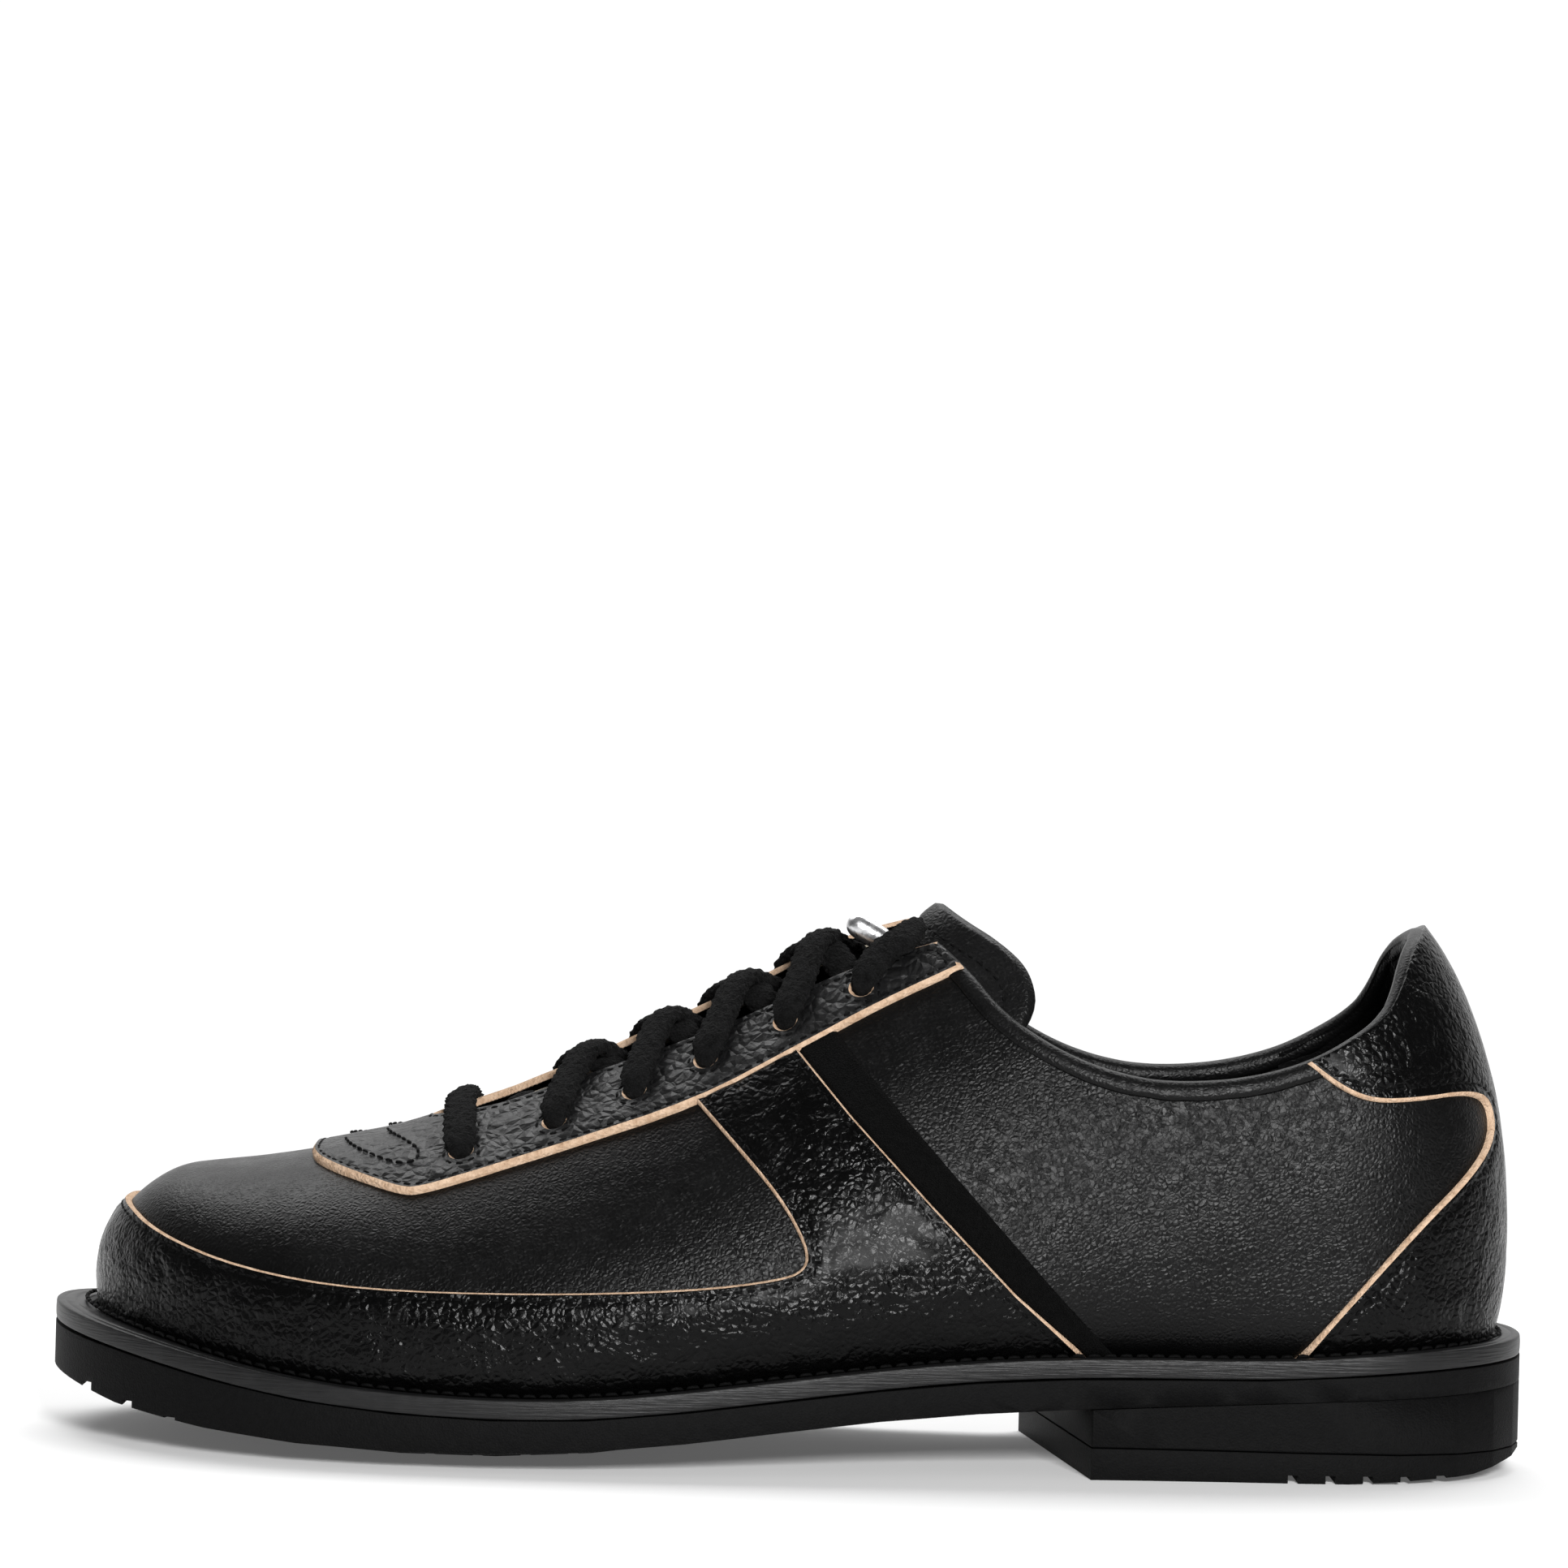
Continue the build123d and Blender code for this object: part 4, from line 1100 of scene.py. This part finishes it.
# (outward, up) from the outline at the welt's top
WELT_EDGE = rounded([
    (-7.5, -3.95), (-7.5, -0.6), (-4.3, -0.55), (-3.7, -0.1), (-2.4, 0.0), (-1.9, -0.25), (-1.4, 0.0),
    (-0.35, 0.0), (0.0, -0.4), (0.0, -3.5), (-0.3, -3.95),
], 2, closed=True)
WELT_STEP = 0.9


def welt():
    ring = outline(WELT_STEP)
    t = unit(np.roll(ring, -1, 0) - np.roll(ring, 1, 0))
    outward = unit(smooth_rows(np.stack([t[:, 1], -t[:, 0]], -1), 2, closed=True))
    outward = np.c_[outward, np.zeros(len(ring))]
    up = np.tile((0.0, 0.0, 1.0), (len(ring), 1))
    path = np.c_[ring, welt_top(ring[:, 0])]
    verts, faces = tube(path, np.repeat(WELT_EDGE[None], len(path), 0), (outward, up), closed=True)
    piece("welt", verts, faces, [WELT], nodes=["welt"])
    seam = path - outward * (welt_out(ring[:, 0]) + 0.35)[:, None] + up * 0.25
    closed_seam = np.vstack([seam, seam[:1]]), np.vstack([up, up[:1]])
    sew("welt_thread", [closed_seam], pitch=3.2, length=2.7, radius=0.42)


def softened(name, width, seam=(9.0, 0.0, 0.0)):
    """The carried-over rubber solid with its sharp edges eased, but not where it is glued to the next.

    seam is (x, below, above) in metres: edges behind x with z under below or over above stay sharp."""
    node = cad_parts[name]
    work = bmesh.new()
    work.from_mesh(node.data)
    bmesh.ops.remove_doubles(work, verts=work.verts, dist=1e-6)
    behind, below, above = seam
    sharp = []
    for e in work.edges:
        x, _, z = (e.verts[0].co + e.verts[1].co) / 2
        glued = x > behind and (z < below or z > above)
        if len(e.link_faces) == 2 and e.calc_face_angle(0) > math.radians(40) and not glued:
            sharp.append(e)
    bmesh.ops.bevel(
        work, geom=sharp, offset=width * MM, offset_type="OFFSET", segments=2, profile=0.5, affect="EDGES",
        clamp_overlap=True,
    )
    mesh = bpy.data.meshes.new(name + "_eased")
    work.to_mesh(mesh)
    work.free()
    mesh.materials.clear()
    mesh.materials.append(RUBBER)
    mesh.polygons.foreach_set("material_index", np.zeros(len(mesh.polygons), np.int32))
    mesh.polygons.foreach_set("use_smooth", np.ones(len(mesh.polygons), bool))
    mesh.set_sharp_from_angle(angle=math.radians(30))
    obj = bpy.data.objects.new(name + "_eased", mesh)
    obj.matrix_world = node.matrix_world.copy()
    scene.collection.objects.link(obj)
    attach(obj, "shoe")
    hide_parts(name)


SOCK_TOE, SOCK_HEEL = -129.5, 132.5
SOCK_ROWS, SOCK_COLUMNS = 150, 45
SOCK_RISE, SOCK_THICKNESS = 4.4, 1.1


def sock_liner():
    """A thin leather sheet on the insole board, with its rim turned up a little."""
    share = (1 - np.cos(np.linspace(0, math.pi, SOCK_ROWS))) / 2
    stations = SOCK_TOE + (SOCK_HEEL - SOCK_TOE) * share
    span = np.linspace(-1, 1, SOCK_COLUMNS)
    half = half_width(stations) * (1 - pinch(stations)) - 5.2
    half *= closing(stations - SOCK_TOE + 0.1, 52) * closing(SOCK_HEEL + 0.1 - stations, 30, 2.2)
    x = np.repeat(stations[:, None], SOCK_COLUMNS, 1)
    y = middle(stations)[:, None] + half[:, None] * span[None]
    top = np.stack([x, y, welt_top(x) + SOCK_RISE + 0.5 * np.abs(span[None]) ** 8], -1).reshape(-1, 3)
    top[:, 2] += 0.15 * wobble(top, 0.08, 3)
    n = len(top)
    shell = Patch(top, top, {}, [f[::-1] for f in grid_faces(SOCK_ROWS, SOCK_COLUMNS)])
    faces = shell.faces + [tuple(i + n for i in f[::-1]) for f in shell.faces]
    faces += [(b, a, a + n, b + n) for a, b in shell.rim()]
    verts = np.vstack([top, top - (0, 0, SOCK_THICKNESS)])
    piece("sock_liner", verts, faces, [LINER], nodes=["sock_liner"])


# looks of the inner pieces that are carried over as they are
INNER = {
    "cork_filler": CORK, "steel_shank": STEEL, "insole_board": BOARD, "toe_puff": STIFF,
    "heel_counter": STIFF, "facing_backer": STIFF,
}


def dress_inner_pieces():
    for name, material in INNER.items():
        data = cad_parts[name].data
        data.materials.clear()
        data.materials.append(material)


# ------------ the shoe, piece by piece
smooth_base()
glossy_overlays()
velvet_strips()
eyelet_facing()
sew("facing_front_thread", [on_side(FRONT_ROW), on_side(FRONT_ROW, far=True)])
linings()
topline_binding()
tongue()
lace_way = lace_route()
lace(lace_way)
aglets(lace_way)
welt()
softened("outsole", 0.45, (0.047, 0.0185, 9.0))
softened("heel_block", 0.35, (0.044, 0.0, 0.0115))
softened("heel_top_lift", 0.35)
sock_liner()
dress_inner_pieces()


# ------------ stage and light
FLOOR_CORNERS = [(-1.3, -1.1, 0), (1.3, -1.1, 0), (1.3, 0.5, 0), (-1.3, 0.5, 0)]


def studio_floor():
    """White paper with painted shade on its front part, out of view, so that the shoe reflects less of it;
    the paper also glows faintly, painted light that lifts the shadows under the shoe.
    """
    mesh = bpy.data.meshes.new("floor")
    mesh.from_pydata(FLOOR_CORNERS, [], [(0, 1, 2, 3)])
    floor = bpy.data.objects.new("floor", mesh)
    scene.collection.objects.link(floor)
    m = Maker("floor")
    back = m.node("ShaderNodeSeparateXYZ", Vector=m.coords).outputs["Y"]
    # painted shade: the paper in front of the shoe, out of view, is grey instead of white
    m.color(m.ramp(m.plus(back, 0.6), (0.28, (0.40,) * 3), (0.42, (0.89,) * 3)))
    socket(m.bsdf, "Roughness", 0.9)
    socket(m.bsdf, "Specular IOR Level", 0.0)
    # painted light: the paper glows a little, which lifts the shadows under the shoe
    socket(m.bsdf, "Emission Color", (1.0, 1.0, 1.0, 1.0))
    socket(m.bsdf, "Emission Strength", 0.10)
    mesh.materials.append(m.material)


def studio_world():
    """Light from behind the shoe, fading to a dim side where the camera stands."""
    world = bpy.data.worlds.new("studio")
    scene.world = world
    world.use_nodes = True
    tree = world.node_tree
    background = tree.nodes["Background"]
    coords = tree.nodes.new("ShaderNodeTexCoord")
    split = tree.nodes.new("ShaderNodeSeparateXYZ")
    ramp = tree.nodes.new("ShaderNodeValToRGB")
    for stop, (place, value) in zip(ramp.color_ramp.elements, ((0.25, 0.13), (0.80, 1.0))):
        stop.position = place
        stop.color = (value, value, value, 1)
    tree.links.new(coords.outputs["Generated"], split.inputs[0])
    tree.links.new(split.outputs["Y"], ramp.inputs[0])
    tree.links.new(ramp.outputs[0], background.inputs[0])
    background.inputs[1].default_value = 1.05


def softbox(name, place, target, size, power):
    light = bpy.data.lights.new(name, "AREA")
    light.shape = "RECTANGLE"
    light.size, light.size_y = size
    light.energy = power
    obj = bpy.data.objects.new(name, light)
    scene.collection.objects.link(obj)
    aim = (Vector(target) - Vector(place)).to_track_quat("-Z", "Y")
    obj.matrix_world = Matrix.Translation(place) @ aim.to_matrix().to_4x4()


studio_floor()
studio_world()
softbox("key", (0.27, -1.22, 0.50), (0.03, 0.0, 0.06), (0.30, 0.24), 20)
softbox("top", (0.0, 0.60, 1.10), (0.0, 0.15, 0.0), (1.9, 0.7), 17)
scene.view_settings.view_transform = "Standard"
scene.view_settings.look = "None"
scene.view_settings.exposure = 0.0
